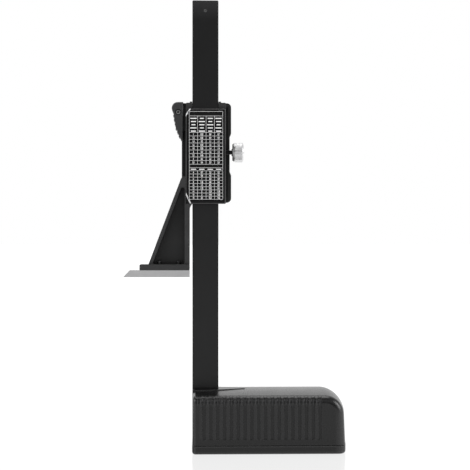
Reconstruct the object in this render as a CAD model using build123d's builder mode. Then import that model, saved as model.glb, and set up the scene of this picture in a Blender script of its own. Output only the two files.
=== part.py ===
from build123d import *
from math import cos, radians, sin, tan
import os

# Digital height gauge for 0 to 150 mm, in millimetres.
# The origin is on the sole plane under the centre of the beam. +X points along the base away from the
# scriber, +Y to the display side and +Z up the beam.

# Beam and its scale
beam_width = 16.0
beam_thickness = 4.0
beam_top = 275.0
beam_corner = 0.8
beam_edge = 0.3
scale_width = 12.2
scale_side_clearance = 0.1
scale_recess = 0.8
scale_strip_thickness = 0.5
scale_film_thickness = 0.2
scale_foot = 1.8
scale_top_drop = 12.5
stop_screw_radius = 0.95
stop_screw_drop = 6.4
stop_head_radius = 2.1
stop_head_height = 1.3

# Base
base_length = 93.4
base_width = 50.0
base_height = 36.3
crown_radius = 155.0
end_radius = 13.0
end_draft = 2.3
root_draft = 1.0
shoulder_radius = 4.5
root_corner = 1.5
housing_wall = 2.2
sole_thickness = 5.0
seam_height = 0.5
seam_depth = 0.6
sole_plug_height = 1.5
sole_edge = 2.0
plug_clearance = 0.15
pad_rise = 0.4
pad_half_width = 11.0
pad_reach = 32.3
pad_bulge = 1.6

# Finger grooves on both long sides of the base
groove_pitch = 4.07
groove_width = 2.0
groove_depth = 0.8
groove_first = 7.1
groove_end = 16.0
groove_foot = 3.5
groove_run_out = 0.05

# Ballast and the screws in the base
ballast_end_gap = 15.0
ballast_side_gap = 10.0
ballast_height = 20.0
ballast_edge = 1.0
beam_fit = 0.05
screw_fit = 0.05
screw_head_inset = 0.2
screw_hole_spare = 0.5
set_screw_radius = 2.5
set_screw_length = 9.0
set_screw_low = 6.0
set_screw_spacing = 9.0
set_screw_hex = 1.25
base_screw_radius = 1.45
base_head_radius = 2.7
base_head_height = 1.6
base_screw_length = 13.0
base_boss_radius = 3.0
base_boss_inset = 6.4
base_boss_first = 9.0
base_boss_last = 22.4
ballast_screw_radius = 2.0
ballast_head_radius = 3.8
ballast_screw_length = 12.0
ballast_screw_inset = 18.0

# Gap between pieces that seat beside each other
seat_gap = 0.1

# Slider frame round the beam. slider_rest is the height of the scriber's edge in this pose.
slider_rest = 105.1
frame_rise = 45.0
frame_length = 62.0
slide_clearance = 0.1
left_rail_width = 3.9
right_rail_width = 3.7
flange_gap = 0.15
frame_front_reach = 2.0
rail_end_radius = 0.8
wiper_height = 0.7
wiper_width = 1.5
gib_thickness = 0.7
gib_width = 3.6
gib_end = 4.0
gib_clearance = 0.05

# Arm in one with the frame, and the scriber under its foot
arm_half_width = 4.0
arm_flange = 2.1
arm_web = 1.5
arm_post_left = -12.7
arm_post_right = -9.66
arm_top_rise = 61.6
arm_top_left = -14.9
arm_foot_left = -34.9
arm_top_step = 1.1
arm_pocket_radius = 1.2
arm_root_drop = 3.9
foot_left = -40.3
foot_thickness = 3.6
foot_half_width = 5.0
foot_corner = 0.7
scriber_thickness = 4.2
scriber_tip = -50.4
scriber_bevel = 4.0
scriber_half_width = 5.0
scriber_screw_first = -28.6
scriber_screw_second = -16.4
scriber_screw_radius = 1.1
scriber_head_radius = 2.1
scriber_head_height = 1.2
scriber_screw_stand = 2.1

# Back plate with its printed table
plate_thickness = 2.0
plate_length = 58.1
plate_inset = 0.3
plate_edge = 0.4
plate_top_cut_x = 2.2
plate_top_cut_z = 3.4
plate_low_cut_x = 2.5
plate_low_cut_z = 5.2
plate_rim = 0.8
plate_cut_rim = 0.25
plate_low_rim = 1.8
plate_recess = 0.5
label_gap = 0.7
label_thickness = 0.25

# Display housing on the far side of the frame
housing_lift = 0.9
housing_length = 61.4
housing_left_overhang = 2.6
housing_right_overhang = 3.3
housing_depth = 9.0
housing_front_wall = 1.6
housing_end_wall = 1.5
housing_left_wall = 2.6
housing_right_wall = 3.9
housing_corner = 2.6
housing_grip_corner = 0.8
housing_front_edge = 1.2
waist_depth = 0.9
waist_low = 16.7
waist_high = 42.6
waist_ramp = 2.2
waist_corner = 1.5
relief_wall = 1.1
relief_width = 1.1
relief_depth = 1.2
body_screw_radius = 0.8
body_head_radius = 1.1
body_head_height = 0.9
body_screw_side = 9.7
body_screw_low = 3.3
body_screw_high = 55.3
body_boss_radius = 2.0
body_screw_length = 12.0

# Electronics
board_gap = 0.7
board_thickness = 1.0
board_half_width = 9.3
board_low = 5.2
board_length = 48.0
board_fit = 0.15
board_ledge = 3.0
chip_size = 6.0
chip_height = 1.2
lcd_low = 25.5
lcd_height = 16.0
lcd_half_width = 11.2
lcd_thickness = 2.2
connector_half_width = 8.4
connector_thickness = 1.6
connector_inset = 0.6
window_margin = 0.7
window_thickness = 1.0
window_frame = 1.5
window_fit = 0.1

# Buttons
button_rise = 15.5
button_spacing = 7.9
button_width = 5.8
button_height = 4.6
button_corner = 1.3
button_stand = 0.9
button_travel = 0.7
button_clearance = 0.2
button_lip = 0.6
button_lip_height = 1.0
button_stem_radius = 1.0
button_rest_gap = 0.15
button_dome = 0.4
button_dome_radius = 1.3
button_stem_gap = 0.15
keypad_thickness = 0.5
keypad_half_width = 9.3
keypad_height = 7.0

# Battery compartment
battery_radius = 5.8
battery_height = 5.4
battery_drop = 9.4
battery_nest_gap = 0.2
battery_nest_wall = 2.0
battery_edge = 0.5
cover_half_width = 7.5
cover_height = 16.5
cover_clearance = 0.15
cover_tongue = 0.8
cover_tongue_thickness = 0.6
cover_front_skin = 0.5
cover_tongue_play = 0.1
cover_grip_count = 4
cover_grip_pitch = 1.8
cover_grip_depth = 0.3
contact_thickness = 0.25
contact_width = 4.0
contact_foot = 6.0
contact_rise = 2.0

# Thumb grip
grip_inner = 1.7
grip_outer = 7.9
grip_length = 23.5
grip_back = 3.4
grip_front = 8.0
grip_edge = 0.5
grip_top_left = 4.9
grip_shoulder = 5.9
grip_mid_reach = 6.75
grip_mid_drop = 14.0
grip_low_reach = 3.9
grip_low_step = 1.4
grip_low_left = 2.7
notch_radius = 0.9
notch_pitch = 2.65
notch_depth = 0.55
notch_count = 8
grip_screw_side = 4.7
grip_screw_drop = 6.1
grip_screw_radius = 0.8
grip_head_radius = 1.35
grip_head_height = 1.0
grip_recess_radius = 1.8
grip_recess_depth = 0.9
grip_screw_length = 8.5
lug_reach = 6.3
lug_thickness = 3.0
lug_high_drop = 2.4
lug_length = 14.5
lug_clearance = 0.15

# Lock screw
lock_rise = 76.6
lock_shank_radius = 1.25
lock_tip_gap = 0.1
lock_collar_gap = 1.6
lock_hub_radius = 2.2
lock_hub_length = 0.5
lock_collar_radius = 5.6
lock_collar_length = 1.2
lock_collar_bevel = 0.7
lock_neck_radius = 5.1
lock_neck_length = 0.3
lock_head_radius = 6.0
lock_head_length = 5.2
lock_head_edge = 0.8
lock_nub_radius = 0.7
lock_nub_height = 0.5
knurl_count = 40
knurl_depth = 0.3

# Levels and sides that follow from the sizes above
half_beam = beam_width / 2
half_thickness = beam_thickness / 2
base_left = -half_beam
base_right = base_left + base_length
seam_top = sole_thickness + seam_height
plug_top = seam_top + sole_plug_height
pad_top = base_height + pad_rise
ballast_left = base_left + housing_wall + plug_clearance
ballast_right = base_right - ballast_end_gap
ballast_half = base_width / 2 - ballast_side_gap
ballast_screw_places = (ballast_left + ballast_screw_inset, ballast_right - ballast_screw_inset)
scale_low = pad_top + scale_foot
scale_high = beam_top - scale_top_drop
groove_count = int((base_length - groove_first - groove_end) / groove_pitch) + 1
frame_bottom = slider_rest + frame_rise
frame_top = frame_bottom + frame_length
frame_left = -half_beam - slide_clearance - left_rail_width
gib_left = half_beam + gib_clearance
gib_right = gib_left + gib_thickness
right_rail_left = gib_right + slide_clearance + gib_clearance
frame_right = right_rail_left + right_rail_width
frame_back = -half_thickness - slide_clearance
flange_back = half_thickness + flange_gap
frame_front = half_thickness + frame_front_reach
foot_bottom = slider_rest + scriber_thickness
foot_top = foot_bottom + foot_thickness
plate_back = frame_back - plate_thickness
plate_left = frame_left
plate_right = frame_right - plate_inset
plate_top = frame_bottom + plate_length
label_face = plate_back + plate_recess - label_thickness
housing_bottom = frame_bottom + housing_lift
housing_top = housing_bottom + housing_length
housing_left = frame_left - housing_left_overhang
housing_right = frame_right + housing_right_overhang
housing_front = frame_front + housing_depth
front_wall_back = housing_front - housing_front_wall
board_back = half_thickness + board_gap
board_front = board_back + board_thickness
battery_center = housing_top - battery_drop
battery_front = front_wall_back - cover_clearance
battery_back = battery_front - battery_height
lock_height = slider_rest + lock_rise
waist_right = housing_right - waist_depth
all_screw_heights = (frame_bottom + body_screw_low, frame_bottom + body_screw_high)


def drop_of(half_width):
    """How far the crown falls from the ridge to the given half width."""
    return crown_radius - (crown_radius ** 2 - half_width ** 2) ** 0.5


def crowned_profile(plane, half_width, depth, corner):
    """Section across the crowned skin: domed and rounded on the outside, straight within."""
    fall = drop_of(half_width)
    with BuildSketch(plane) as profile:
        with BuildLine():
            ThreePointArc((-half_width, -fall), (0, 0), (half_width, -fall))
            Polyline((half_width, -fall), (half_width, -depth), (-half_width, -depth), (-half_width, -fall))
        make_face()
        fillet([v for v in profile.vertices() if v.Y > -depth / 2], corner)
    return profile.sketch


def seen_from_rear(y):
    """A drawing plane at depth y: its x is the row's X, its y the row's Z, and its normal points to -Y."""
    return Plane(origin=(0, y, 0), x_dir=(1, 0, 0), z_dir=(0, -1, 0))


def crowned_block(inset, start):
    """The base's form drawn in by an inset, from start in X: top run, rounded end and sloping far end."""
    half_width = base_width / 2 - inset
    top = base_height - inset
    radius = end_radius - inset
    corner = shoulder_radius - inset
    depth = radius - 0.5
    lean = radians(end_draft)
    turn_z = top - radius
    turn_x = base_right - inset - turn_z * tan(lean) - radius / cos(lean)
    top_end = Plane(origin=(turn_x, 0, top), x_dir=(0, 1, 0), z_dir=(1, 0, 0))
    down_start = Plane(
        origin=(turn_x + radius * cos(lean), 0, turn_z + radius * sin(lean)),
        x_dir=(0, 1, 0),
        z_dir=(sin(lean), 0, -cos(lean)),
    )
    turn = Axis((turn_x, 0, turn_z), (0, 1, 0))
    with BuildPart() as block:
        extrude(crowned_profile(top_end, half_width, depth, corner), amount=start - turn_x)
        revolve(crowned_profile(top_end, half_width, depth, corner), axis=turn, revolution_arc=90 - end_draft)
        extrude(crowned_profile(down_start, half_width, depth, corner), amount=turn_z + 2)
        with BuildSketch(seen_from_rear(-half_width)):
            with Locations((start, -2)):
                Rectangle(turn_x + radius / 4 - start, turn_z + 3, align=Align.MIN)
        extrude(amount=-2 * half_width)
    return block.part


def box_between(low, high):
    """A plain block between two corners."""
    with BuildPart() as block:
        with Locations(low):
            Box(high[0] - low[0], high[1] - low[1], high[2] - low[2], align=Align.MIN)
    return block.part


def rod_along_y(radius, x, z, y_low, y_high):
    """A round bar along Y."""
    with BuildPart() as rod:
        with BuildSketch(seen_from_rear(y_high)):
            with Locations((x, z)):
                Circle(radius)
        extrude(amount=y_high - y_low)
    return rod.part


def rod_along_z(radius, x, y, z_low, z_high):
    """A round bar along Z."""
    with BuildPart() as rod:
        with BuildSketch(Plane.XY.offset(z_low)):
            with Locations((x, y)):
                Circle(radius)
        extrude(amount=z_high - z_low)
    return rod.part


def sole_outline(inset, height):
    """The base's plan at a height, drawn in by an inset: straight root end, domed and sloping far end."""
    half_width = base_width / 2 - inset
    far = base_right - inset - height * tan(radians(end_draft))
    near = base_left + inset
    fall = drop_of(half_width)
    with BuildSketch() as plan:
        with BuildLine():
            Polyline(
                (far - fall, -half_width),
                (near, -half_width),
                (near, half_width),
                (far - fall, half_width),
            )
            ThreePointArc((far - fall, half_width), (far, 0), (far - fall, -half_width))
        make_face()
        fillet([v for v in plan.vertices() if v.X > near + 1], max(shoulder_radius - inset, 1))
        fillet([v for v in plan.vertices() if v.X < near + 0.1], max(root_corner - inset, 0.5))
    return plan.sketch


# Base housing: crowned shell with the pointed pad round the beam, finger grooves and screw bosses
outer_form = crowned_block(0, base_left - 2)
inner_form = crowned_block(housing_wall, base_left + housing_wall)
root_face = Plane(
    origin=(base_left, 0, 0),
    x_dir=(0, 1, 0),
    z_dir=(-cos(radians(root_draft)), 0, sin(radians(root_draft))),
)
base_screw_places = [
    (x, y)
    for x in (base_left + base_boss_first, base_right - base_boss_last)
    for y in (base_boss_inset - base_width / 2, base_width / 2 - base_boss_inset)
]
base_screw_top = base_head_height + base_screw_length
ballast_screw_top = base_head_height + ballast_screw_length
groove_low = seam_top + groove_foot
groove_zone = shoulder_radius + groove_depth + 2
groove_middle = base_width / 2 + 2 - groove_zone / 2
groove_floor = base_height + groove_run_out
pad_side = pad_half_width / 2 + pad_bulge
pad_start = base_left - 1
pad_middle = base_left + pad_reach / 2
pad_tip = base_left + pad_reach

with BuildPart() as base_housing:
    add(outer_form)
    split(bisect_by=root_face, keep=Keep.BOTTOM)
    split(bisect_by=Plane.XY.offset(seam_top), keep=Keep.TOP)
    root_edges = base_housing.faces().sort_by(Axis.X)[0].edges()
    fillet([e for e in root_edges if e.center().Z > seam_top + 0.1], root_corner)
    with BuildSketch(Plane.XY.offset(base_height - housing_wall)):
        with BuildLine():
            ThreePointArc((pad_start, pad_half_width), (pad_middle, pad_side), (pad_tip, 0))
            ThreePointArc((pad_tip, 0), (pad_middle, -pad_side), (pad_start, -pad_half_width))
            Line((pad_start, -pad_half_width), (pad_start, pad_half_width))
        make_face()
    extrude(amount=housing_wall + pad_rise)
    split(bisect_by=root_face, keep=Keep.BOTTOM)
    add(inner_form, mode=Mode.SUBTRACT)
    for x, y in base_screw_places:
        add(rod_along_z(base_boss_radius, x, y, plug_top + plug_clearance, base_height - housing_wall))
        add(
            rod_along_z(base_screw_radius + screw_fit, x, y, 0, base_screw_top + screw_hole_spare),
            mode=Mode.SUBTRACT,
        )
    add(
        box_between(
            (base_left - 2, -half_thickness - beam_fit, plug_top),
            (half_beam + beam_fit, half_thickness + beam_fit, pad_top + 1),
        ),
        mode=Mode.SUBTRACT,
    )
    for index in range(groove_count):
        groove_x = base_left + groove_first + index * groove_pitch - groove_width / 2
        with BuildSketch(Plane(origin=(groove_x, 0, groove_floor), x_dir=(0, 1, 0), z_dir=(1, 0, 0))):
            with Locations(*[(side * groove_middle, groove_low - groove_floor) for side in (-1, 1)]):
                Rectangle(groove_zone, base_height, align=(Align.CENTER, Align.MIN))
            add(
                crowned_profile(
                    Plane.XY,
                    base_width / 2 - groove_depth,
                    2 * base_height,
                    shoulder_radius,
                ),
                mode=Mode.SUBTRACT,
            )
        extrude(amount=groove_width, mode=Mode.SUBTRACT)

# Sole plate: flat plate with the dark seam step and the plug that locates the housing
with BuildPart() as sole_plate:
    with BuildSketch():
        add(sole_outline(0, 0))
    extrude(amount=sole_thickness)
    fillet(sole_plate.faces().sort_by(Axis.Z)[0].edges(), sole_edge)
    with BuildSketch(Plane.XY.offset(sole_thickness)):
        add(sole_outline(seam_depth, seam_top))
    extrude(amount=seam_height)
    with BuildSketch(Plane.XY.offset(seam_top)):
        add(sole_outline(housing_wall + plug_clearance, plug_top))
    extrude(amount=sole_plug_height)
    for x, y in base_screw_places:
        add(rod_along_z(base_screw_radius + screw_fit, x, y, 0, plug_top), mode=Mode.SUBTRACT)
        add(rod_along_z(base_head_radius + screw_fit, x, y, 0, base_head_height), mode=Mode.SUBTRACT)
    for x in ballast_screw_places:
        add(rod_along_z(ballast_screw_radius + screw_fit, x, 0, 0, plug_top), mode=Mode.SUBTRACT)
        add(rod_along_z(ballast_head_radius + screw_fit, x, 0, 0, base_head_height), mode=Mode.SUBTRACT)

# Ballast: steel block on the sole's plug, slotted at its root end for the beam's foot
set_screw_heights = [plug_top + set_screw_low + index * set_screw_spacing for index in range(2)]

with BuildPart() as ballast_weight:
    add(
        box_between(
            (ballast_left, -ballast_half, plug_top),
            (ballast_right, ballast_half, plug_top + ballast_height),
        )
    )
    chamfer(ballast_weight.faces().sort_by(Axis.Z)[-1].edges(), ballast_edge)
    add(
        box_between(
            (ballast_left - 1, -half_thickness - beam_fit, plug_top - 1),
            (half_beam + beam_fit, half_thickness + beam_fit, plug_top + ballast_height + 1),
        ),
        mode=Mode.SUBTRACT,
    )
    for z in set_screw_heights:
        add(
            rod_along_y(set_screw_radius + screw_fit, 0, z, -ballast_half - 1, -half_thickness),
            mode=Mode.SUBTRACT,
        )
    for x in ballast_screw_places:
        add(
            rod_along_z(ballast_screw_radius + screw_fit, x, 0, 0, ballast_screw_top + screw_hole_spare),
            mode=Mode.SUBTRACT,
        )

with BuildPart() as beam_set_screws:
    for z in set_screw_heights:
        add(rod_along_y(set_screw_radius, 0, z, -half_thickness - set_screw_length, -half_thickness))
        with BuildSketch(seen_from_rear(-half_thickness - set_screw_length)):
            with Locations((0, z)):
                RegularPolygon(set_screw_hex, 6)
        extrude(amount=-2 * set_screw_hex, mode=Mode.SUBTRACT)

with BuildPart() as base_screws:
    for x, y in base_screw_places:
        add(rod_along_z(base_head_radius, x, y, screw_head_inset, base_head_height))
        add(rod_along_z(base_screw_radius, x, y, base_head_height, base_screw_top))

with BuildPart() as ballast_screws:
    for x in ballast_screw_places:
        add(rod_along_z(ballast_head_radius, x, 0, screw_head_inset, base_head_height))
        add(rod_along_z(ballast_screw_radius, x, 0, base_head_height, ballast_screw_top))

# Beam with its scale recess on the display side
stop_height = beam_top - stop_screw_drop
scale_floor = half_thickness - scale_recess
half_recess = scale_width / 2 + scale_side_clearance

with BuildPart() as beam:
    with BuildSketch(seen_from_rear(half_thickness)):
        with Locations((0, plug_top)):
            Rectangle(beam_width, beam_top - plug_top, align=(Align.CENTER, Align.MIN))
    extrude(amount=beam_thickness)
    fillet([e for e in beam.edges().filter_by(Axis.Y) if e.center().Z > beam_top - 1], beam_corner)
    chamfer(beam.edges().filter_by(Axis.Z), beam_edge)
    add(
        box_between((-half_recess, scale_floor, scale_low), (half_recess, half_thickness + 1, scale_high)),
        mode=Mode.SUBTRACT,
    )
    add(
        rod_along_y(stop_screw_radius + screw_fit, 0, stop_height, -half_thickness - 1, half_thickness + 1),
        mode=Mode.SUBTRACT,
    )

with BuildPart() as scale_strip:
    add(
        box_between(
            (-scale_width / 2, scale_floor, scale_low + scale_side_clearance),
            (scale_width / 2, scale_floor + scale_strip_thickness, scale_high - scale_side_clearance),
        )
    )

with BuildPart() as scale_film:
    add(
        box_between(
            (-scale_width / 2, scale_floor + scale_strip_thickness, scale_low + scale_side_clearance),
            (
                scale_width / 2,
                scale_floor + scale_strip_thickness + scale_film_thickness,
                scale_high - scale_side_clearance,
            ),
        )
    )

with BuildPart() as stop_screw:
    add(rod_along_y(stop_screw_radius, 0, stop_height, -half_thickness, half_thickness))
    add(rod_along_y(stop_head_radius, 0, stop_height, half_thickness, half_thickness + stop_head_height))
    chamfer(stop_screw.faces().sort_by(Axis.Y)[-1].edges(), stop_head_height / 3)

# Slider frame: rails either side of the beam, a flange in front of it, the arm and its foot
arm_top = slider_rest + arm_top_rise
frame_mid = (frame_bottom + frame_top) / 2
channel_half = half_beam + slide_clearance
board_bottom = frame_bottom + board_low
board_top = board_bottom + board_length
arm_slope = (arm_top_left - arm_foot_left) / (arm_top - arm_top_step - foot_top)
arm_inner_step = arm_flange * (1 + arm_slope ** 2) ** 0.5
pocket_top = foot_top + (arm_post_left - arm_foot_left - arm_inner_step) / arm_slope
scriber_screw_places = (scriber_screw_first, scriber_screw_second)
lug_top = housing_top - lug_high_drop
grip_screw_x = frame_left - grip_screw_side
grip_screw_z = housing_top - grip_screw_drop
lug_back = frame_front - lug_thickness
body_screw_places = [(side * body_screw_side, z) for side in (-1, 1) for z in all_screw_heights]

with BuildPart() as slider_frame:
    with BuildSketch(seen_from_rear(frame_back)):
        with Locations(((frame_left + frame_right) / 2, frame_mid)):
            RectangleRounded(frame_right - frame_left, frame_length, rail_end_radius)
    extrude(amount=frame_back - frame_front)
    for side in (-1, 1):
        with Locations((side * (channel_half + wiper_width / 2), (frame_back + flange_back) / 2, frame_top)):
            Box(wiper_width, flange_back - frame_back, 2 * wiper_height)
    add(
        box_between(
            (frame_left - lug_reach, lug_back, lug_top - lug_length),
            (frame_left + 1, frame_front, lug_top),
        )
    )
    with BuildSketch(seen_from_rear(-arm_half_width)):
        with BuildLine():
            root_arc = TangentArc(
                (arm_post_right, frame_bottom - arm_root_drop), (-channel_half, frame_bottom), tangent=(0, 1)
            )
            Polyline(
                root_arc @ 1,
                (frame_left + 1, frame_bottom),
                (frame_left + 1, arm_top),
                (arm_top_left + arm_top_step, arm_top),
                (arm_top_left, arm_top - arm_top_step),
                (arm_foot_left, foot_top),
                (arm_post_right, foot_top),
                root_arc @ 0,
            )
        make_face()
    extrude(amount=-2 * arm_half_width)
    with BuildSketch(seen_from_rear(-foot_half_width)):
        with Locations(((foot_left + arm_post_right) / 2, (foot_bottom + foot_top) / 2)):
            RectangleRounded(arm_post_right - foot_left, foot_thickness, foot_corner)
    extrude(amount=-2 * foot_half_width)
    with BuildSketch(seen_from_rear(-arm_half_width)) as pocket:
        with BuildLine():
            Polyline(
                (arm_foot_left + arm_inner_step, foot_top),
                (arm_post_left, pocket_top),
                (arm_post_left, foot_top),
                close=True,
            )
        make_face()
        fillet(pocket.vertices(), arm_pocket_radius)
    extrude(amount=arm_web - 2 * arm_half_width, mode=Mode.SUBTRACT)
    add(
        box_between(
            (plate_left - seat_gap, -2 * foot_half_width, frame_bottom - seat_gap),
            (frame_right + 1, frame_back, frame_top + 2),
        ),
        mode=Mode.SUBTRACT,
    )
    add(
        box_between(
            (housing_left - seat_gap, frame_front, housing_bottom - seat_gap),
            (housing_right, 2 * foot_half_width, housing_top),
        ),
        mode=Mode.SUBTRACT,
    )
    add(
        box_between(
            (-channel_half, frame_back - 1, frame_bottom - 1),
            (channel_half, flange_back, frame_top + 2),
        ),
        mode=Mode.SUBTRACT,
    )
    add(
        box_between(
            (0, -gib_width / 2 - gib_clearance, frame_bottom + gib_end),
            (right_rail_left, gib_width / 2 + gib_clearance, frame_top - gib_end),
        ),
        mode=Mode.SUBTRACT,
    )
    add(
        box_between(
            (-board_half_width - board_fit, board_back, board_bottom - board_fit),
            (board_half_width + board_fit, frame_front + 1, board_top + board_fit),
        ),
        mode=Mode.SUBTRACT,
    )
    add(
        box_between(
            (board_ledge - board_half_width, 0, board_bottom + board_ledge),
            (board_half_width - board_ledge, frame_front, board_top - board_ledge),
        ),
        mode=Mode.SUBTRACT,
    )
    with BuildSketch(Plane.YZ.offset(gib_left)):
        with Locations((0, lock_height)):
            Circle(lock_shank_radius + screw_fit)
    extrude(amount=frame_right + 1 - gib_left, mode=Mode.SUBTRACT)
    for x, z in body_screw_places:
        add(
            rod_along_y(body_screw_radius + screw_fit, x, z, frame_back - 1, frame_front + 1),
            mode=Mode.SUBTRACT,
        )
    for x in scriber_screw_places:
        add(
            rod_along_z(scriber_screw_radius + screw_fit, x, 0, foot_bottom - 1, foot_top + 1),
            mode=Mode.SUBTRACT,
        )
    add(
        rod_along_y(grip_screw_radius + screw_fit, grip_screw_x, grip_screw_z, lug_back - 1, frame_front + 1),
        mode=Mode.SUBTRACT,
    )

# Gib strip between the lock screw and the beam
with BuildPart() as gib_strip:
    add(
        box_between(
            (gib_left, -gib_width / 2, frame_bottom + gib_end + slide_clearance),
            (gib_right, gib_width / 2, frame_top - gib_end - slide_clearance),
        )
    )

# Scriber and its screws, whose ends stand above the foot
scriber_head_top = slider_rest + scriber_head_height

with BuildPart() as scriber:
    with BuildSketch(seen_from_rear(-scriber_half_width)):
        with BuildLine():
            Polyline(
                (scriber_tip, slider_rest),
                (arm_post_right, slider_rest),
                (arm_post_right, foot_bottom),
                (scriber_tip + scriber_bevel, foot_bottom),
                close=True,
            )
        make_face()
    extrude(amount=-2 * scriber_half_width)
    for x in scriber_screw_places:
        add(rod_along_z(scriber_screw_radius + screw_fit, x, 0, slider_rest, foot_bottom), mode=Mode.SUBTRACT)
        add(
            rod_along_z(scriber_head_radius + screw_fit, x, 0, slider_rest - 1, scriber_head_top),
            mode=Mode.SUBTRACT,
        )

with BuildPart() as scriber_screws:
    for x in scriber_screw_places:
        add(rod_along_z(scriber_head_radius, x, 0, slider_rest + screw_head_inset, scriber_head_top))
        add(rod_along_z(scriber_screw_radius, x, 0, scriber_head_top, foot_top + scriber_screw_stand))
    chamfer(scriber_screws.faces().sort_by(Axis.Z)[-2:].edges(), scriber_screw_radius / 4)

# Back plate with cut corners, a raised rim and a recess for the printed table
label_floor = plate_back + plate_recess
body_screw_front = label_floor + body_screw_length


def plate_outline(inset):
    """The back plate's outline drawn in by an inset, with its two cut corners on the arm's side."""
    with BuildSketch() as outline:
        with BuildLine():
            Polyline(
                (plate_left, frame_bottom + plate_low_cut_z),
                (plate_left + plate_low_cut_x, frame_bottom),
                (plate_right, frame_bottom),
                (plate_right, plate_top),
                (plate_left + plate_top_cut_x, plate_top),
                (plate_left, plate_top - plate_top_cut_z),
                close=True,
            )
        make_face()
        if inset > 0:
            offset(amount=-inset, kind=Kind.INTERSECTION)
    return outline.sketch


def recess_outline(gap, cut_gap):
    """The recess's outline, or that of a piece lying in it with a gap all round."""
    with BuildSketch() as outline:
        add(plate_outline(plate_cut_rim + cut_gap))
        low = frame_bottom + plate_low_rim + gap
        with Locations((plate_left + plate_rim + gap, low)):
            Rectangle(
                plate_right - plate_left - 2 * (plate_rim + gap),
                plate_top - plate_rim - gap - low,
                align=Align.MIN,
                mode=Mode.INTERSECT,
            )
    return outline.sketch


with BuildPart() as back_plate:
    with BuildSketch(seen_from_rear(frame_back)):
        add(plate_outline(0))
    extrude(amount=plate_thickness)
    chamfer(back_plate.faces().sort_by(Axis.Y)[0].edges(), plate_edge)
    with BuildSketch(seen_from_rear(plate_back)):
        add(recess_outline(0, 0))
    extrude(amount=-plate_recess, mode=Mode.SUBTRACT)
    for x, z in body_screw_places:
        add(rod_along_y(body_screw_radius + screw_fit, x, z, label_floor, frame_back), mode=Mode.SUBTRACT)
        add(
            rod_along_y(body_head_radius + screw_fit, x, z, label_floor, label_floor + body_head_height),
            mode=Mode.SUBTRACT,
        )

with BuildPart() as table_label:
    with BuildSketch(seen_from_rear(label_floor)):
        add(recess_outline(label_gap, seat_gap))
    extrude(amount=label_thickness)

with BuildPart() as body_screws:
    for x, z in body_screw_places:
        add(rod_along_y(body_head_radius, x, z, label_floor, label_floor + body_head_height))
        add(rod_along_y(body_screw_radius, x, z, label_floor + body_head_height, body_screw_front))

# Display housing: shell with a waist beside the lock screw, on the frame's display side
lcd_bottom = housing_bottom + lcd_low
lcd_top = lcd_bottom + lcd_height
window_low = (-lcd_half_width - window_margin, lcd_bottom - window_margin)
window_high = (lcd_half_width + window_margin, lcd_top + window_margin)
button_z = housing_bottom + button_rise
button_places = {"button_unit": -button_spacing, "button_zero": 0.0, "button_on_off": button_spacing}
cover_bottom = housing_top - cover_height
groove_front = housing_front - cover_front_skin
groove_back = groove_front - cover_tongue_thickness - 2 * cover_tongue_play
nest_radius = battery_radius + battery_nest_gap
side_contact_x = battery_radius + battery_nest_gap / 4

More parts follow.
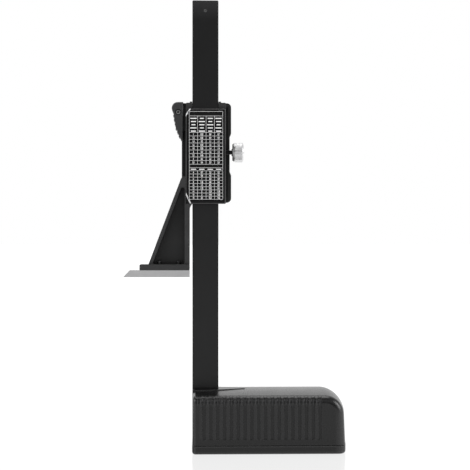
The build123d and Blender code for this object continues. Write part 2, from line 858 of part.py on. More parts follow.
with BuildPart() as display_housing:
    with BuildSketch(seen_from_rear(frame_front)) as housing_outline:
        with BuildLine():
            Polyline(
                (housing_left, housing_bottom),
                (housing_right, housing_bottom),
                (housing_right, housing_bottom + waist_low),
                (waist_right, housing_bottom + waist_low + waist_ramp),
                (waist_right, housing_bottom + waist_high - waist_ramp),
                (housing_right, housing_bottom + waist_high),
                (housing_right, housing_top),
                (housing_left, housing_top),
                close=True,
            )
        make_face()
        ends = housing_outline.vertices().group_by(Axis.Y)[0] + housing_outline.vertices().group_by(Axis.Y)[-1]
        fillet([v for v in ends if v.X > 0], housing_corner)
        fillet([v for v in ends if v.X < 0], housing_grip_corner)
        fillet(
            [v for v in housing_outline.vertices() if abs(v.Y - frame_mid) < waist_high / 2 and v.X > 0],
            waist_corner,
        )
    extrude(amount=-housing_depth)
    fillet(display_housing.faces().sort_by(Axis.Y)[-1].edges(), housing_front_edge)
    add(
        box_between(
            (housing_left + housing_left_wall, frame_front - 1, housing_bottom + housing_end_wall),
            (housing_right - housing_right_wall, front_wall_back, housing_top - housing_end_wall),
        ),
        mode=Mode.SUBTRACT,
    )
    for x, z in body_screw_places:
        add(rod_along_y(body_boss_radius, x, z, frame_front, front_wall_back))
    add(
        box_between(
            (
                -nest_radius - battery_nest_wall,
                battery_back,
                battery_center - nest_radius - battery_nest_gap,
            ),
            (nest_radius + battery_nest_wall, front_wall_back, housing_top - housing_end_wall),
        )
    )
    add(
        rod_along_y(nest_radius, 0, battery_center, battery_back - 1, front_wall_back),
        mode=Mode.SUBTRACT,
    )
    add(
        box_between(
            (0, battery_back - 1, battery_center - contact_width / 2 - board_fit),
            (
                side_contact_x + contact_thickness + board_fit,
                front_wall_back,
                battery_center + contact_width / 2 + board_fit,
            ),
        ),
        mode=Mode.SUBTRACT,
    )
    for x, z in body_screw_places:
        add(
            rod_along_y(
                body_screw_radius + screw_fit,
                x,
                z,
                frame_front - 1,
                body_screw_front + screw_hole_spare,
            ),
            mode=Mode.SUBTRACT,
        )
    add(
        box_between(
            (window_low[0], housing_front - window_thickness, window_low[1]),
            (window_high[0], housing_front + 1, window_high[1]),
        ),
        mode=Mode.SUBTRACT,
    )
    add(
        box_between(
            (window_low[0] + window_frame, front_wall_back - 1, window_low[1] + window_frame),
            (window_high[0] - window_frame, housing_front + 1, window_high[1] - window_frame),
        ),
        mode=Mode.SUBTRACT,
    )
    with BuildSketch(seen_from_rear(front_wall_back - 1)):
        with Locations(*[(x, button_z) for x in button_places.values()]):
            RectangleRounded(
                button_width + 2 * button_clearance,
                button_height + 2 * button_clearance,
                button_corner + button_clearance,
            )
    extrude(amount=-housing_front_wall - 2, mode=Mode.SUBTRACT)
    add(
        box_between(
            (-cover_half_width, front_wall_back, cover_bottom),
            (cover_half_width, housing_front + 1, housing_top + 1),
        ),
        mode=Mode.SUBTRACT,
    )
    add(
        box_between(
            (-cover_half_width - cover_tongue, groove_back, cover_bottom),
            (cover_half_width + cover_tongue, groove_front, housing_top + 1),
        ),
        mode=Mode.SUBTRACT,
    )
    for low_x in (housing_left + relief_wall, frame_right + seat_gap):
        add(
            box_between(
                (low_x, frame_front - 1, housing_bottom + housing_corner),
                (low_x + relief_width, frame_front + relief_depth, housing_top - housing_corner),
            ),
            mode=Mode.SUBTRACT,
        )

with BuildPart() as display_window:
    with BuildSketch(seen_from_rear(housing_front - window_thickness)):
        with Locations(((window_low[0] + window_high[0]) / 2, (window_low[1] + window_high[1]) / 2)):
            Rectangle(
                window_high[0] - window_low[0] - 2 * window_fit,
                window_high[1] - window_low[1] - 2 * window_fit,
            )
    extrude(amount=-window_thickness)

# Electronics behind the window
with BuildPart() as circuit_board:
    add(
        box_between(
            (-board_half_width, board_back, board_bottom),
            (board_half_width, board_front, board_top),
        )
    )

with BuildPart() as controller_chip:
    with BuildSketch(seen_from_rear(board_front)):
        with Locations((0, (lcd_bottom + lcd_top) / 2)):
            Rectangle(chip_size, chip_size)
    extrude(amount=-chip_height, taper=8)

with BuildPart() as lcd_panel:
    add(
        box_between(
            (-lcd_half_width, front_wall_back - lcd_thickness, lcd_bottom),
            (lcd_half_width, front_wall_back, lcd_top),
        )
    )

with BuildPart() as lcd_connectors:
    for low_z in (lcd_bottom + connector_inset, lcd_top - connector_inset - connector_thickness):
        add(
            box_between(
                (-connector_half_width, board_front, low_z),
                (connector_half_width, front_wall_back - lcd_thickness, low_z + connector_thickness),
            )
        )

dome_front = board_front + keypad_thickness + button_dome

with BuildPart() as keypad_mat:
    add(
        box_between(
            (-keypad_half_width, board_front, button_z - keypad_height / 2),
            (keypad_half_width, board_front + keypad_thickness, button_z + keypad_height / 2),
        )
    )
    for x in button_places.values():
        add(rod_along_y(button_dome_radius, x, button_z, board_front, dome_front))

# Buttons: rounded cap, inner lip behind the front wall and a stem over the contact mat
lip_front = front_wall_back - button_rest_gap


def make_button(x):
    """One push button at the given side position."""
    with BuildPart() as button:
        with BuildSketch(seen_from_rear(lip_front - button_lip_height)):
            with Locations((x, button_z)):
                RectangleRounded(button_width, button_height, button_corner)
        extrude(amount=lip_front - button_lip_height - housing_front - button_stand)
        chamfer(button.faces().sort_by(Axis.Y)[-1].edges(), button_stand / 2)
        with BuildSketch(seen_from_rear(lip_front - button_lip_height)):
            with Locations((x, button_z)):
                RectangleRounded(button_width + 2 * button_lip, button_height + 2 * button_lip, button_corner)
        extrude(amount=-button_lip_height)
        add(
            rod_along_y(
                button_stem_radius,
                x,
                button_z,
                dome_front + button_travel + button_stem_gap,
                lip_front - button_lip_height,
            )
        )
    return button


buttons = {name: make_button(x) for name, x in button_places.items()}

# Button cell, its two spring contacts and the sliding cover
with BuildPart() as battery:
    add(rod_along_y(battery_radius, 0, battery_center, battery_back, battery_front))
    chamfer(battery.faces().sort_by(Axis.Y)[0].edges(), battery_edge)
    chamfer(battery.faces().sort_by(Axis.Y)[-1].edges(), battery_edge)

with BuildPart() as battery_contacts:
    with BuildSketch(Plane.YZ.offset(-contact_width / 2)):
        with BuildLine():
            Polyline(
                (board_front, board_top - contact_foot),
                (board_front, board_top - contact_foot / 2),
                (battery_back - contact_thickness, battery_center + contact_rise),
                (battery_back - contact_thickness, battery_center + 2 * contact_rise),
                (battery_back, battery_center + 2 * contact_rise),
                (battery_back, battery_center + contact_rise),
                (board_front + contact_thickness, board_top - contact_foot / 2),
                (board_front + contact_thickness, board_top - contact_foot),
                close=True,
            )
        make_face()
    extrude(amount=contact_width)
    add(
        box_between(
            (side_contact_x, frame_front + seat_gap, battery_center - contact_width / 2),
            (
                side_contact_x + contact_thickness,
                battery_front - battery_edge,
                battery_center + contact_width / 2,
            ),
        )
    )
    add(
        box_between(
            (side_contact_x, board_front, battery_center - contact_width / 2),
            (side_contact_x + contact_thickness, frame_front + seat_gap, board_top),
        )
    )

with BuildPart() as battery_cover:
    with BuildSketch(seen_from_rear(front_wall_back + cover_tongue_play)):
        with Locations((0, cover_bottom + cover_clearance)):
            Rectangle(
                2 * (cover_half_width - cover_clearance),
                cover_height - cover_clearance,
                align=(Align.CENTER, Align.MIN),
            )
    extrude(amount=cover_tongue_play - housing_front_wall)
    outer_face = battery_cover.faces().sort_by(Axis.Y)[-1]
    fillet(outer_face.edges().sort_by(Axis.Z)[-1], housing_front_edge)
    for index in range(cover_grip_count):
        grip_z = housing_top - housing_front_edge - (index + 1) * cover_grip_pitch
        with Locations((0, housing_front, grip_z)):
            Box(cover_half_width, 2 * cover_grip_depth, cover_grip_pitch / 2, mode=Mode.SUBTRACT)
    add(
        box_between(
            (
                -cover_half_width - cover_tongue + cover_clearance,
                groove_back + cover_tongue_play,
                cover_bottom + cover_clearance,
            ),
            (
                cover_half_width + cover_tongue - cover_clearance,
                groove_front - cover_tongue_play,
                housing_top - housing_corner,
            ),
        )
    )

# Thumb grip on the frame's lug, with a notched edge
grip_right = frame_left - grip_inner
grip_left = frame_left - grip_outer
grip_bottom = housing_top - grip_length

with BuildPart() as thumb_grip:
    with BuildSketch(seen_from_rear(-grip_back)):
        with BuildLine():
            shoulder = TangentArc(
                (frame_left - grip_top_left, housing_top),
                (grip_left, housing_top - grip_shoulder),
                tangent=(-1, 0),
            )
            flank = ThreePointArc(
                shoulder @ 1,
                (frame_left - grip_mid_reach, housing_top - grip_mid_drop),
                (frame_left - grip_low_reach, grip_bottom + grip_low_step),
            )
            Polyline(
                flank @ 1,
                (frame_left - grip_low_left, grip_bottom),
                (grip_right, grip_bottom),
                (grip_right, housing_top),
                shoulder @ 0,
            )
        make_face()
    extrude(amount=-grip_back - grip_front)
    chamfer(thumb_grip.faces().sort_by(Axis.Y)[0].edges(), grip_edge)
    chamfer(thumb_grip.faces().sort_by(Axis.Y)[-1].edges(), grip_edge)
    for index in range(notch_count):
        share = (index + 0.5) * notch_pitch / flank.length
        place = flank @ share
        along = flank % share
        push = notch_radius - notch_depth
        add(
            rod_along_y(
                notch_radius,
                place.X + along.Y * push,
                place.Y - along.X * push,
                -grip_back - 1,
                grip_front + 1,
            ),
            mode=Mode.SUBTRACT,
        )
    add(
        box_between(
            (housing_left - seat_gap, frame_front, housing_bottom),
            (grip_right + 1, grip_front + 1, housing_top + 1),
        ),
        mode=Mode.SUBTRACT,
    )
    add(
        box_between(
            (
                frame_left - lug_reach - lug_clearance,
                lug_back - lug_clearance,
                lug_top - lug_length - lug_clearance,
            ),
            (grip_right + 1, frame_front + lug_clearance, lug_top + lug_clearance),
        ),
        mode=Mode.SUBTRACT,
    )
    add(
        rod_along_y(
            grip_screw_radius + screw_fit,
            grip_screw_x,
            grip_screw_z,
            -grip_back,
            grip_recess_depth - grip_back + grip_head_height + grip_screw_length + screw_hole_spare,
        ),
        mode=Mode.SUBTRACT,
    )
    add(
        rod_along_y(
            grip_recess_radius,
            grip_screw_x,
            grip_screw_z,
            -grip_back - 1,
            grip_recess_depth + grip_head_height - grip_back,
        ),
        mode=Mode.SUBTRACT,
    )

with BuildPart() as thumb_grip_screw:
    head_back = grip_recess_depth - grip_back
    head_front = head_back + grip_head_height
    grip_screw_front = head_front + grip_screw_length
    add(rod_along_y(grip_head_radius, grip_screw_x, grip_screw_z, head_back, head_front))
    add(rod_along_y(grip_screw_radius, grip_screw_x, grip_screw_z, head_front, grip_screw_front))

# Lock screw: shank through the rail to the gib strip, hub, bevelled collar, neck and knurled head
collar_left = waist_right + lock_collar_gap
collar_right = collar_left + lock_collar_length
head_left = collar_right + lock_neck_length
head_right = head_left + lock_head_length
shank_left = gib_right + lock_tip_gap

with BuildPart() as lock_screw:
    with BuildSketch(Plane(origin=(0, 0, lock_height), x_dir=(1, 0, 0), z_dir=(0, -1, 0))):
        with BuildLine():
            Polyline(
                (shank_left, 0),
                (shank_left, lock_shank_radius),
                (collar_left - lock_hub_length, lock_shank_radius),
                (collar_left - lock_hub_length, lock_hub_radius),
                (collar_left, lock_hub_radius),
                (collar_left, lock_collar_radius - lock_collar_bevel),
                (collar_left + lock_collar_bevel, lock_collar_radius),
                (collar_right, lock_collar_radius),
                (collar_right, lock_neck_radius),
                (head_left, lock_neck_radius),
                (head_left, lock_head_radius),
                (head_right - lock_head_edge, lock_head_radius),
                (head_right, lock_head_radius - lock_head_edge),
                (head_right, lock_nub_radius),
                (head_right + lock_nub_height, lock_nub_radius),
                (head_right + lock_nub_height, 0),
                close=True,
            )
        make_face()
    revolve(axis=Axis((0, 0, lock_height), (1, 0, 0)))
    with BuildSketch(Plane.YZ.offset(head_left)):
        with Locations((0, lock_height)):
            with PolarLocations(lock_head_radius, knurl_count):
                RegularPolygon(knurl_depth, 4, rotation=0)
    extrude(amount=lock_head_length, mode=Mode.SUBTRACT)

# One file for each piece
pieces = {
    "base_housing": base_housing,
    "sole_plate": sole_plate,
    "ballast_weight": ballast_weight,
    "beam_set_screws": beam_set_screws,
    "base_screws": base_screws,
    "ballast_screws": ballast_screws,
    "beam": beam,
    "scale_strip": scale_strip,
    "scale_film": scale_film,
    "stop_screw": stop_screw,
    "slider_frame": slider_frame,
    "gib_strip": gib_strip,
    "scriber": scriber,
    "scriber_screws": scriber_screws,
    "back_plate": back_plate,
    "table_label": table_label,
    "body_screws": body_screws,
    "display_housing": display_housing,
    "display_window": display_window,
    "circuit_board": circuit_board,
    "controller_chip": controller_chip,
    "lcd_panel": lcd_panel,
    "lcd_connectors": lcd_connectors,
    "keypad_mat": keypad_mat,
    **buttons,
    "battery": battery,
    "battery_contacts": battery_contacts,
    "battery_cover": battery_cover,
    "thumb_grip": thumb_grip,
    "thumb_grip_screw": thumb_grip_screw,
    "lock_screw": lock_screw,
}

os.makedirs("parts", exist_ok=True)
for name, piece in pieces.items():
    piece.part.label = name
    export_step(piece.part, f"parts/{name}.step")
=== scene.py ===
"""Digital height gauge: finishes, printed marks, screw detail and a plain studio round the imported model."""

from math import pi, radians

import bpy
from bpy.props import FloatProperty, FloatVectorProperty, IntProperty, PointerProperty
from mathutils import Matrix, Vector


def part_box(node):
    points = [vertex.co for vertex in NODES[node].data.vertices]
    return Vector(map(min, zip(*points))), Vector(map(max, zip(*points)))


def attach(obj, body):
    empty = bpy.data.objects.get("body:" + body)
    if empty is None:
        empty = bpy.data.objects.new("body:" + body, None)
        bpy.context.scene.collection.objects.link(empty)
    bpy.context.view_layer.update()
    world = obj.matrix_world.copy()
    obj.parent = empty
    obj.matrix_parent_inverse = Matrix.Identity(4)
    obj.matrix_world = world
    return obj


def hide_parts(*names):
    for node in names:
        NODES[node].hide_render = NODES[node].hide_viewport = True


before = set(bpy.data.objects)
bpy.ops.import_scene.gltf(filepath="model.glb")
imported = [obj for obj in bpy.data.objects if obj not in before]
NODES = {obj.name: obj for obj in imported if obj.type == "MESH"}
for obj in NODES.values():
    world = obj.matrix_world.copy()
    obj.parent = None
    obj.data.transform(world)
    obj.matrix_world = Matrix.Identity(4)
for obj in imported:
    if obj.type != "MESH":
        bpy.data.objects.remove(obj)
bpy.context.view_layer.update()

bl_info = {
    "name": "Height gauge dressing",
    "version": (1, 0, 0),
    "blender": (4, 5, 0),
    "location": "View3D > Sidebar > Gauge",
    "description": "Gives a digital height gauge its finishes, printed marks, screws and studio",
    "category": "Object",
}

MM = 0.001
NEARLY_NOTHING = 0.001 * MM

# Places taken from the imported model, in millimetres
LABEL_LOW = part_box("table_label")[0] / MM
FILM_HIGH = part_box("scale_film")[1] / MM
PLATE_LOW, PLATE_HIGH = (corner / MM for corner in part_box("back_plate"))
BASE_LOW, BASE_HIGH = (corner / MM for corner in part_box("base_housing"))
LCD_LOW, LCD_HIGH = (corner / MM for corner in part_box("lcd_panel"))
LOCK_LOW, LOCK_HIGH = (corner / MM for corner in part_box("lock_screw"))
BEAM_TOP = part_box("beam")[1].z / MM
FRAME_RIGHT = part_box("slider_frame")[1].x / MM
HOUSING_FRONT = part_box("display_housing")[1].y / MM

# The base's finger grooves, from its root end, in millimetres
GROOVE_FIRST, GROOVE_PITCH = 7.1, 4.07


class PrintSettings(bpy.types.PropertyGroup):
    """Sizes of the printed table and scale."""

    row_pitch: FloatProperty(
        name="Row pitch", description="Height of one row of the table", default=2.15 * MM, unit="LENGTH"
    )
    figure_height: FloatProperty(
        name="Figure height", description="Height of the table's figures", default=1.32 * MM, unit="LENGTH"
    )
    line_width: FloatProperty(
        name="Line width", description="Width of the table's fine lines", default=0.15 * MM, unit="LENGTH"
    )
    ink_lift: FloatProperty(
        name="Ink lift", description="How far print stands on its surface", default=0.02 * MM, unit="LENGTH"
    )
    scale_zero: FloatProperty(
        name="Scale zero", description="Height of the scale's zero line", default=45 * MM, unit="LENGTH"
    )
    scale_length: IntProperty(
        name="Scale length", description="Length of the scale in millimetres", default=150
    )


class FinishSettings(bpy.types.PropertyGroup):
    """Colours of the visible finishes."""

    plastic: FloatVectorProperty(
        name="Plastic", description="Moulded housings and base", default=(0.023, 0.023, 0.0235),
        subtype="COLOR", min=0, max=1,
    )
    beam: FloatVectorProperty(
        name="Beam", description="Coating of the beam", default=(0.006, 0.006, 0.0062),
        subtype="COLOR", min=0, max=1,
    )
    plate: FloatVectorProperty(
        name="Plate", description="Coating of the back plate", default=(0.004, 0.004, 0.0042),
        subtype="COLOR", min=0, max=1,
    )
    steel: FloatVectorProperty(
        name="Steel", description="Ground steel of the scriber", default=(0.54, 0.54, 0.545),
        subtype="COLOR", min=0, max=1,
    )
    plating: FloatVectorProperty(
        name="Plating", description="Plating of the lock screw", default=(0.74, 0.74, 0.745),
        subtype="COLOR", min=0, max=1,
    )
    ink: FloatVectorProperty(
        name="Ink", description="White print", default=(0.88, 0.88, 0.88), subtype="COLOR", min=0, max=1
    )


class StageSettings(bpy.types.PropertyGroup):
    """Camera and studio."""

    distance: FloatProperty(
        name="Distance", description="From the camera to the beam", default=0.750, unit="LENGTH"
    )
    eye_height: FloatProperty(
        name="Eye height", description="Height of the camera", default=0.1309, unit="LENGTH"
    )
    eye_side: FloatProperty(
        name="Eye side", description="Camera's place to the right of the beam", default=0.0182, unit="LENGTH"
    )
    turn: FloatProperty(
        name="Turn", description="How far the gauge is turned from the camera",
        default=radians(1.5), unit="ROTATION",
    )
    lens: FloatProperty(name="Lens", description="Focal length in millimetres", default=93.35)


# ---- Small helpers for modelling by operators


def clear_selection():
    """Leaves nothing selected, in Object mode."""
    if bpy.context.object and bpy.context.object.mode != "OBJECT":
        bpy.ops.object.mode_set(mode="OBJECT")
    bpy.ops.object.select_all(action="DESELECT")


def settle(piece):
    """Puts the piece's place, turn and size into its mesh."""
    clear_selection()
    piece.select_set(True)
    bpy.context.view_layer.objects.active = piece
    bpy.ops.object.transform_apply(location=True, rotation=True, scale=True)
    return piece


def add_block(low, high):
    """A block between two corners in millimetres."""
    clear_selection()
    middle = [(a + b) / 2 * MM for a, b in zip(low, high)]
    size = [(b - a) * MM for a, b in zip(low, high)]
    bpy.ops.mesh.primitive_cube_add(size=1, location=middle, scale=size)
    return settle(bpy.context.object)


def add_rod(radius, middle, length, axis, sides=32):
    """A round bar about a middle point in millimetres, along X, Y or Z."""
    turns = {"X": (0, pi / 2, 0), "Y": (pi / 2, 0, 0), "Z": (0, 0, 0)}
    clear_selection()
    bpy.ops.mesh.primitive_cylinder_add(
        vertices=sides,
        radius=radius * MM,
        depth=length * MM,
        location=[v * MM for v in middle],
        rotation=turns[axis],
    )
    return settle(bpy.context.object)


def joined(parts):
    """One object made of several."""
    clear_selection()
    for part in parts:
        part.select_set(True)
    bpy.context.view_layer.objects.active = parts[0]
    if len(parts) > 1:
        bpy.ops.object.join()
    return bpy.context.object


def cut(piece, tool):
    """Takes the tool's form out of the piece."""
    clear_selection()
    bpy.context.view_layer.objects.active = piece
    piece.select_set(True)
    bpy.ops.object.modifier_add(type="BOOLEAN")
    modifier = piece.modifiers[-1]
    modifier.operation = "DIFFERENCE"
    modifier.solver = "EXACT"
    modifier.object = tool
    bpy.ops.object.modifier_apply(modifier=modifier.name)
    bpy.data.objects.remove(tool, do_unlink=True)
    return piece


def round_edges(piece, width, segments=2, angle=30):
    """Rounds the piece's sharp edges by a width in millimetres."""
    clear_selection()
    bpy.context.view_layer.objects.active = piece
    piece.select_set(True)
    bpy.ops.object.modifier_add(type="BEVEL")
    modifier = piece.modifiers[-1]
    modifier.width = width * MM
    modifier.segments = segments
    modifier.limit_method = "ANGLE"
    modifier.angle_limit = radians(angle)
    bpy.ops.object.modifier_apply(modifier=modifier.name)
    return piece


def smooth(piece, angle=35):
    """Smooth shading except over edges sharper than an angle in degrees."""
    clear_selection()
    bpy.context.view_layer.objects.active = piece
    piece.select_set(True)
    bpy.ops.object.shade_smooth_by_angle(angle=radians(angle))
    return piece


def add_words(text, size, middle, faces, pitch=None, width=1.0, weight=0.0):
    """Flat lettering about a point in millimetres, facing -Y or +Y.

    Its size, and the pitch of its lines where it has several, are in metres. Width stretches the letters,
    and weight thickens them by a share of their size.
    """
    clear_selection()
    turn = (pi / 2, 0, 0) if faces == "-Y" else (pi / 2, 0, pi)
    bpy.ops.object.text_add(location=[v * MM for v in middle], rotation=turn)
    words = bpy.context.object
    words.scale.x = width
    words.data.offset = weight * size
    words.data.body = text
    words.data.align_x = "CENTER"
    words.data.align_y = "CENTER" if pitch is None else "TOP_BASELINE"
    words.data.resolution_u = 2
    words.data.size = size
    if pitch is not None:
        words.data.space_line = pitch / size
    bpy.ops.object.convert(target="MESH")
    return settle(bpy.context.object)


def hand_over(piece, name, body, finish, slot, *stands_for):
    """Names a finished piece, gives it its finish and lets it ride."""
    piece.name = name
    piece.data.name = name
    piece.data.materials.clear()
    piece.data.materials.append(finish)
    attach(piece, body)
    if stands_for:
        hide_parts(*stands_for)
    return piece


# ---- Shader expressions


class Signal:
    """One output of a shader node. Arithmetic on it adds the Math nodes."""

    def __init__(self, tree, socket):
        self.tree = tree
        self.socket = socket

    def output(self, name):
        """Another output of the same node."""
        return Signal(self.tree, self.socket.node.outputs[name])

    def math(self, operation, *others):
        """A Math node on this value and others."""
        values = {0: self}
        for place, other in enumerate(others, 1):
            values[place] = other
        return self.tree.add("Math", {"operation": operation}, values)

    def __add__(self, other):
        return self.math("ADD", other)

    __radd__ = __add__

    def __mul__(self, other):
        return self.math("MULTIPLY", other)

    __rmul__ = __mul__

    def __sub__(self, other):
        return self.math("SUBTRACT", other)

    def __rsub__(self, other):
        return self.tree.add("Math", {"operation": "SUBTRACT"}, {0: other, 1: self})

    def __gt__(self, other):
        return self.math("GREATER_THAN", other)

    def __lt__(self, other):
        return self.math("LESS_THAN", other)

    def within(self, low, high):
        """1 where the value is between two limits, else 0."""
        return (self > low) * (self < high)

    def spread(self, low, high):
        """0 at the low limit, 1 at the high one, straight between and held outside."""
        return self.tree.add(
            "MapRange", {"clamp": True}, {"Value": self, "From Min": low, "From Max": high}
        )


class Tree:
    """The node tree of a material or world."""

    def __init__(self, owner):
        owner.use_nodes = True
        self.nodes = owner.node_tree.nodes
        self.links = owner.node_tree.links
        self.nodes.clear()

    def add(self, kind, settings=None, values=None, output=0):
        """Adds a node, sets its settings first and then its sockets, and returns one output."""
        node = self.nodes.new("ShaderNode" + kind)
        for name, value in (settings or {}).items():
            setattr(node, name, value)
        for name, value in (values or {}).items():
            socket = node.inputs[name]
            if isinstance(value, Signal):
                self.links.new(value.socket, socket)
            else:
                socket.default_value = value
        return Signal(self, node.outputs[output]) if node.outputs else node

    def place(self, stretch=(1, 1, 1)):
        """The point on the piece in millimetres, stretched along the axes."""
        point = self.add("TexCoord", output="Object")
        return self.add(
            "Mapping", {}, {"Vector": point, "Scale": [factor / MM for factor in stretch]}
        )

    def noise(self, point, scale, detail=2.0, roughness=0.5):
        """Soft noise, with its scale in bumps per millimetre."""
        return self.add(
            "TexNoise",
            {},
            {"Vector": point, "Scale": scale, "Detail": detail, "Roughness": roughness},
        )

    def blend(self, amount, low, high):
        """A colour between two."""
        return self.add("Mix", {"data_type": "RGBA"}, {0: amount, 6: low, 7: high}, output=2)

    def rounded(self, radius):
        """The normal with edges rounded by a radius in millimetres."""
        return self.add("Bevel", {"samples": 4}, {"Radius": radius * MM})

    def edge(self, soft):
        """0 on flat areas, rising to 1 on outer and inner edges."""
        normal = self.add("NewGeometry", output="Normal")
        same = self.add("VectorMath", {"operation": "DOT_PRODUCT"}, {0: soft, 1: normal}, output="Value")
        flat_limit, edge_limit = 0.01, 0.22
        return (1 - same).spread(flat_limit, edge_limit)

    def facing(self, axis):
        """How squarely the surface faces along an axis, from 0 to 1."""
        normal = self.add("NewGeometry", output="True Normal")
        return self.add("SeparateXYZ", {}, {"Vector": normal}, output=axis).math("ABSOLUTE")

    def recess(self, reach):
        """1 in the open, falling to 0 deep in a pocket, within a reach in millimetres."""
        return self.add("AmbientOcclusion", {"samples": 8}, {"Distance": reach * MM}, output="AO")

    def bump(self, height, depth, soft=None):
        """A normal with relief of a depth in millimetres."""
        values = {"Height": height, "Distance": depth * MM, "Strength": 1.0}
        if soft is not None:
            values["Normal"] = soft
        return self.add("Bump", {}, values)

    def surface(self, **sockets):
        """The Principled surface on the output, from socket names written with underscores."""
        named = {
            name.replace("_", " ").title().replace("Ior", "IOR"): value for name, value in sockets.items()
        }
        shader = self.add("BsdfPrincipled", {}, named)
        self.add("OutputMaterial", {}, {"Surface": shader})


def new_finish(name):
    """A material and its empty tree."""
    material = bpy.data.materials.new(name)
    return material, Tree(material)


def rgba(color, factor=1.0):
    """A colour with its alpha, made lighter or darker."""
    return (*(min(1.0, channel * factor) for channel in color[:3]), 1.0)


def grey(level):
    """A neutral colour with its alpha."""
    return rgba((level,) * 3)


def moulded(name, color, shine, grain, relief, wear_and_highlight_tone=2.2, gloss=0.35, rounding=0.3, painted_highlights=None):
    """Moulded plastic: fine spark texture, faint cloudiness, painted shade darkening its pockets, and paler
    edges from abrasion and a painted edge highlight.

    The last value, where given, makes from the place in millimetres a mask of painted highlights.
    """
    material, tree = new_finish(name)
    point = tree.place()
    fine = tree.noise(point, grain, detail=3)
    broad = tree.noise(point, 0.09, detail=3)
    soft = tree.rounded(rounding)
    # Edges are painted paler, partly abrasion and partly a painted edge highlight.
    wear_and_highlight_mask = tree.edge(soft) * broad.spread(0.2, 0.6)
    body = tree.blend(broad.spread(0.3, 0.7), rgba(color, 0.85), rgba(color, 1.15))
    # Painted shade: the colour darkens towards the depths of pockets, where ambient occlusion falls.
    painted_shade_reach, painted_shade_tone, painted_highlight_tone = 14, 0.15, 9
    body = tree.blend(tree.recess(painted_shade_reach).spread(0.6, 0.97), rgba(color, painted_shade_tone), body)
    # Painted highlights: the mask makes the colour far paler in lines.
    if painted_highlights is not None:
        along = tree.add("SeparateXYZ", {}, {"Vector": point}, output="X")
        body = tree.blend(painted_highlights(along), body, rgba(color, painted_highlight_tone))
    tree.surface(
        base_color=tree.blend(wear_and_highlight_mask, body, rgba(color, wear_and_highlight_tone)),
        roughness=fine * 0.16 + broad * 0.08 + (shine - 0.12),
        specular_ior_level=gloss,
        normal=tree.bump(fine, relief, soft),
    )
    return material


def rubbed_base(along):
    """Mask of the base's painted highlights: pale lines at the groove ends on the shoulder, on the ribs,
    along the sole's rim and at the corners.

    Each line has its limits in millimetres and its strength, from 0 to 1.
    """
    grooves_start, grooves_stop = BASE_LOW.x + 3, BASE_HIGH.x - 16
    rib_low, rib_high, rib_strength = 9, 30, 0.16
    shoulder_low, shoulder_full, shoulder_fade, shoulder_high = 28.5, 31.0, 32.0, 34.0
    rim_low, rim_high, rim_strength = 4.5, 5.01, 0.6
    root_start, root_stop, root_top, root_strength = BASE_LOW.x + 1.2, BASE_LOW.x + 1.9, 33, 0.7
    far_start, far_full, far_top, far_strength = BASE_HIGH.x - 8, BASE_HIGH.x - 5, 30, 0.5

    height = along.output("Z")
    turn = (along - BASE_LOW.x - GROOVE_FIRST) * (2 * pi / GROOVE_PITCH)
    comb = (turn * 2).math("COSINE").spread(-0.2, 0.9)
    ribs = (1 - turn.math("COSINE").spread(-0.6, 0.2)) * height.within(rib_low, rib_high) * rib_strength
    ends = along.within(grooves_start, grooves_stop)
    shoulder = height.spread(shoulder_low, shoulder_full) * (1 - height.spread(shoulder_fade, shoulder_high))
    rim = height.within(rim_low, rim_high) * rim_strength
    root = along.within(root_start, root_stop) * (height < root_top) * root_strength
    side = along.tree.facing("Y").spread(0.2, 0.6)
    far = along.spread(far_start, far_full) * (height < far_top) * side
    level = (comb * shoulder).math("MAXIMUM", ribs) * ends
    return level.math("MAXIMUM", rim).math("MAXIMUM", root).math("MAXIMUM", far * far_strength)


def coated(name, color, shine, wear_and_highlight_tone, top, gloss=0.3):
    """Satin coating on metal, with a hint of grain along the height and painted light making the end up to
    the top paler.
    """
    top_light_reach, top_light_tone = 12, 3.5
    material, tree = new_finish(name)
    drawn = tree.noise(tree.place((3.0, 3.0, 0.05)), 1.0, detail=3)
    speck = tree.noise(tree.place(), 2.5, detail=2)
    broad = tree.noise(tree.place(), 0.05, detail=2)
    soft = tree.rounded(0.15)
    # Edges are painted paler, partly abrasion and partly a painted edge highlight.
    wear_and_highlight_mask = tree.edge(soft) * broad.spread(0.2, 0.7)
    body = tree.blend(broad, rgba(color, 0.8), rgba(color, 1.2))
    height = tree.add("SeparateXYZ", {}, {"Vector": tree.place()}, output="Z")
    # Painted light: the colour grows paler over the reach below the top.
    body = tree.blend(height.spread(top - top_light_reach, top), body, rgba(color, top_light_tone))
    tree.surface(
        base_color=tree.blend(wear_and_highlight_mask, body, rgba(color, wear_and_highlight_tone)),
        roughness=drawn * 0.06 + speck * 0.08 + (shine - 0.07),
        specular_ior_level=gloss,
        normal=tree.bump(speck, 0.006, soft),
    )
    return material


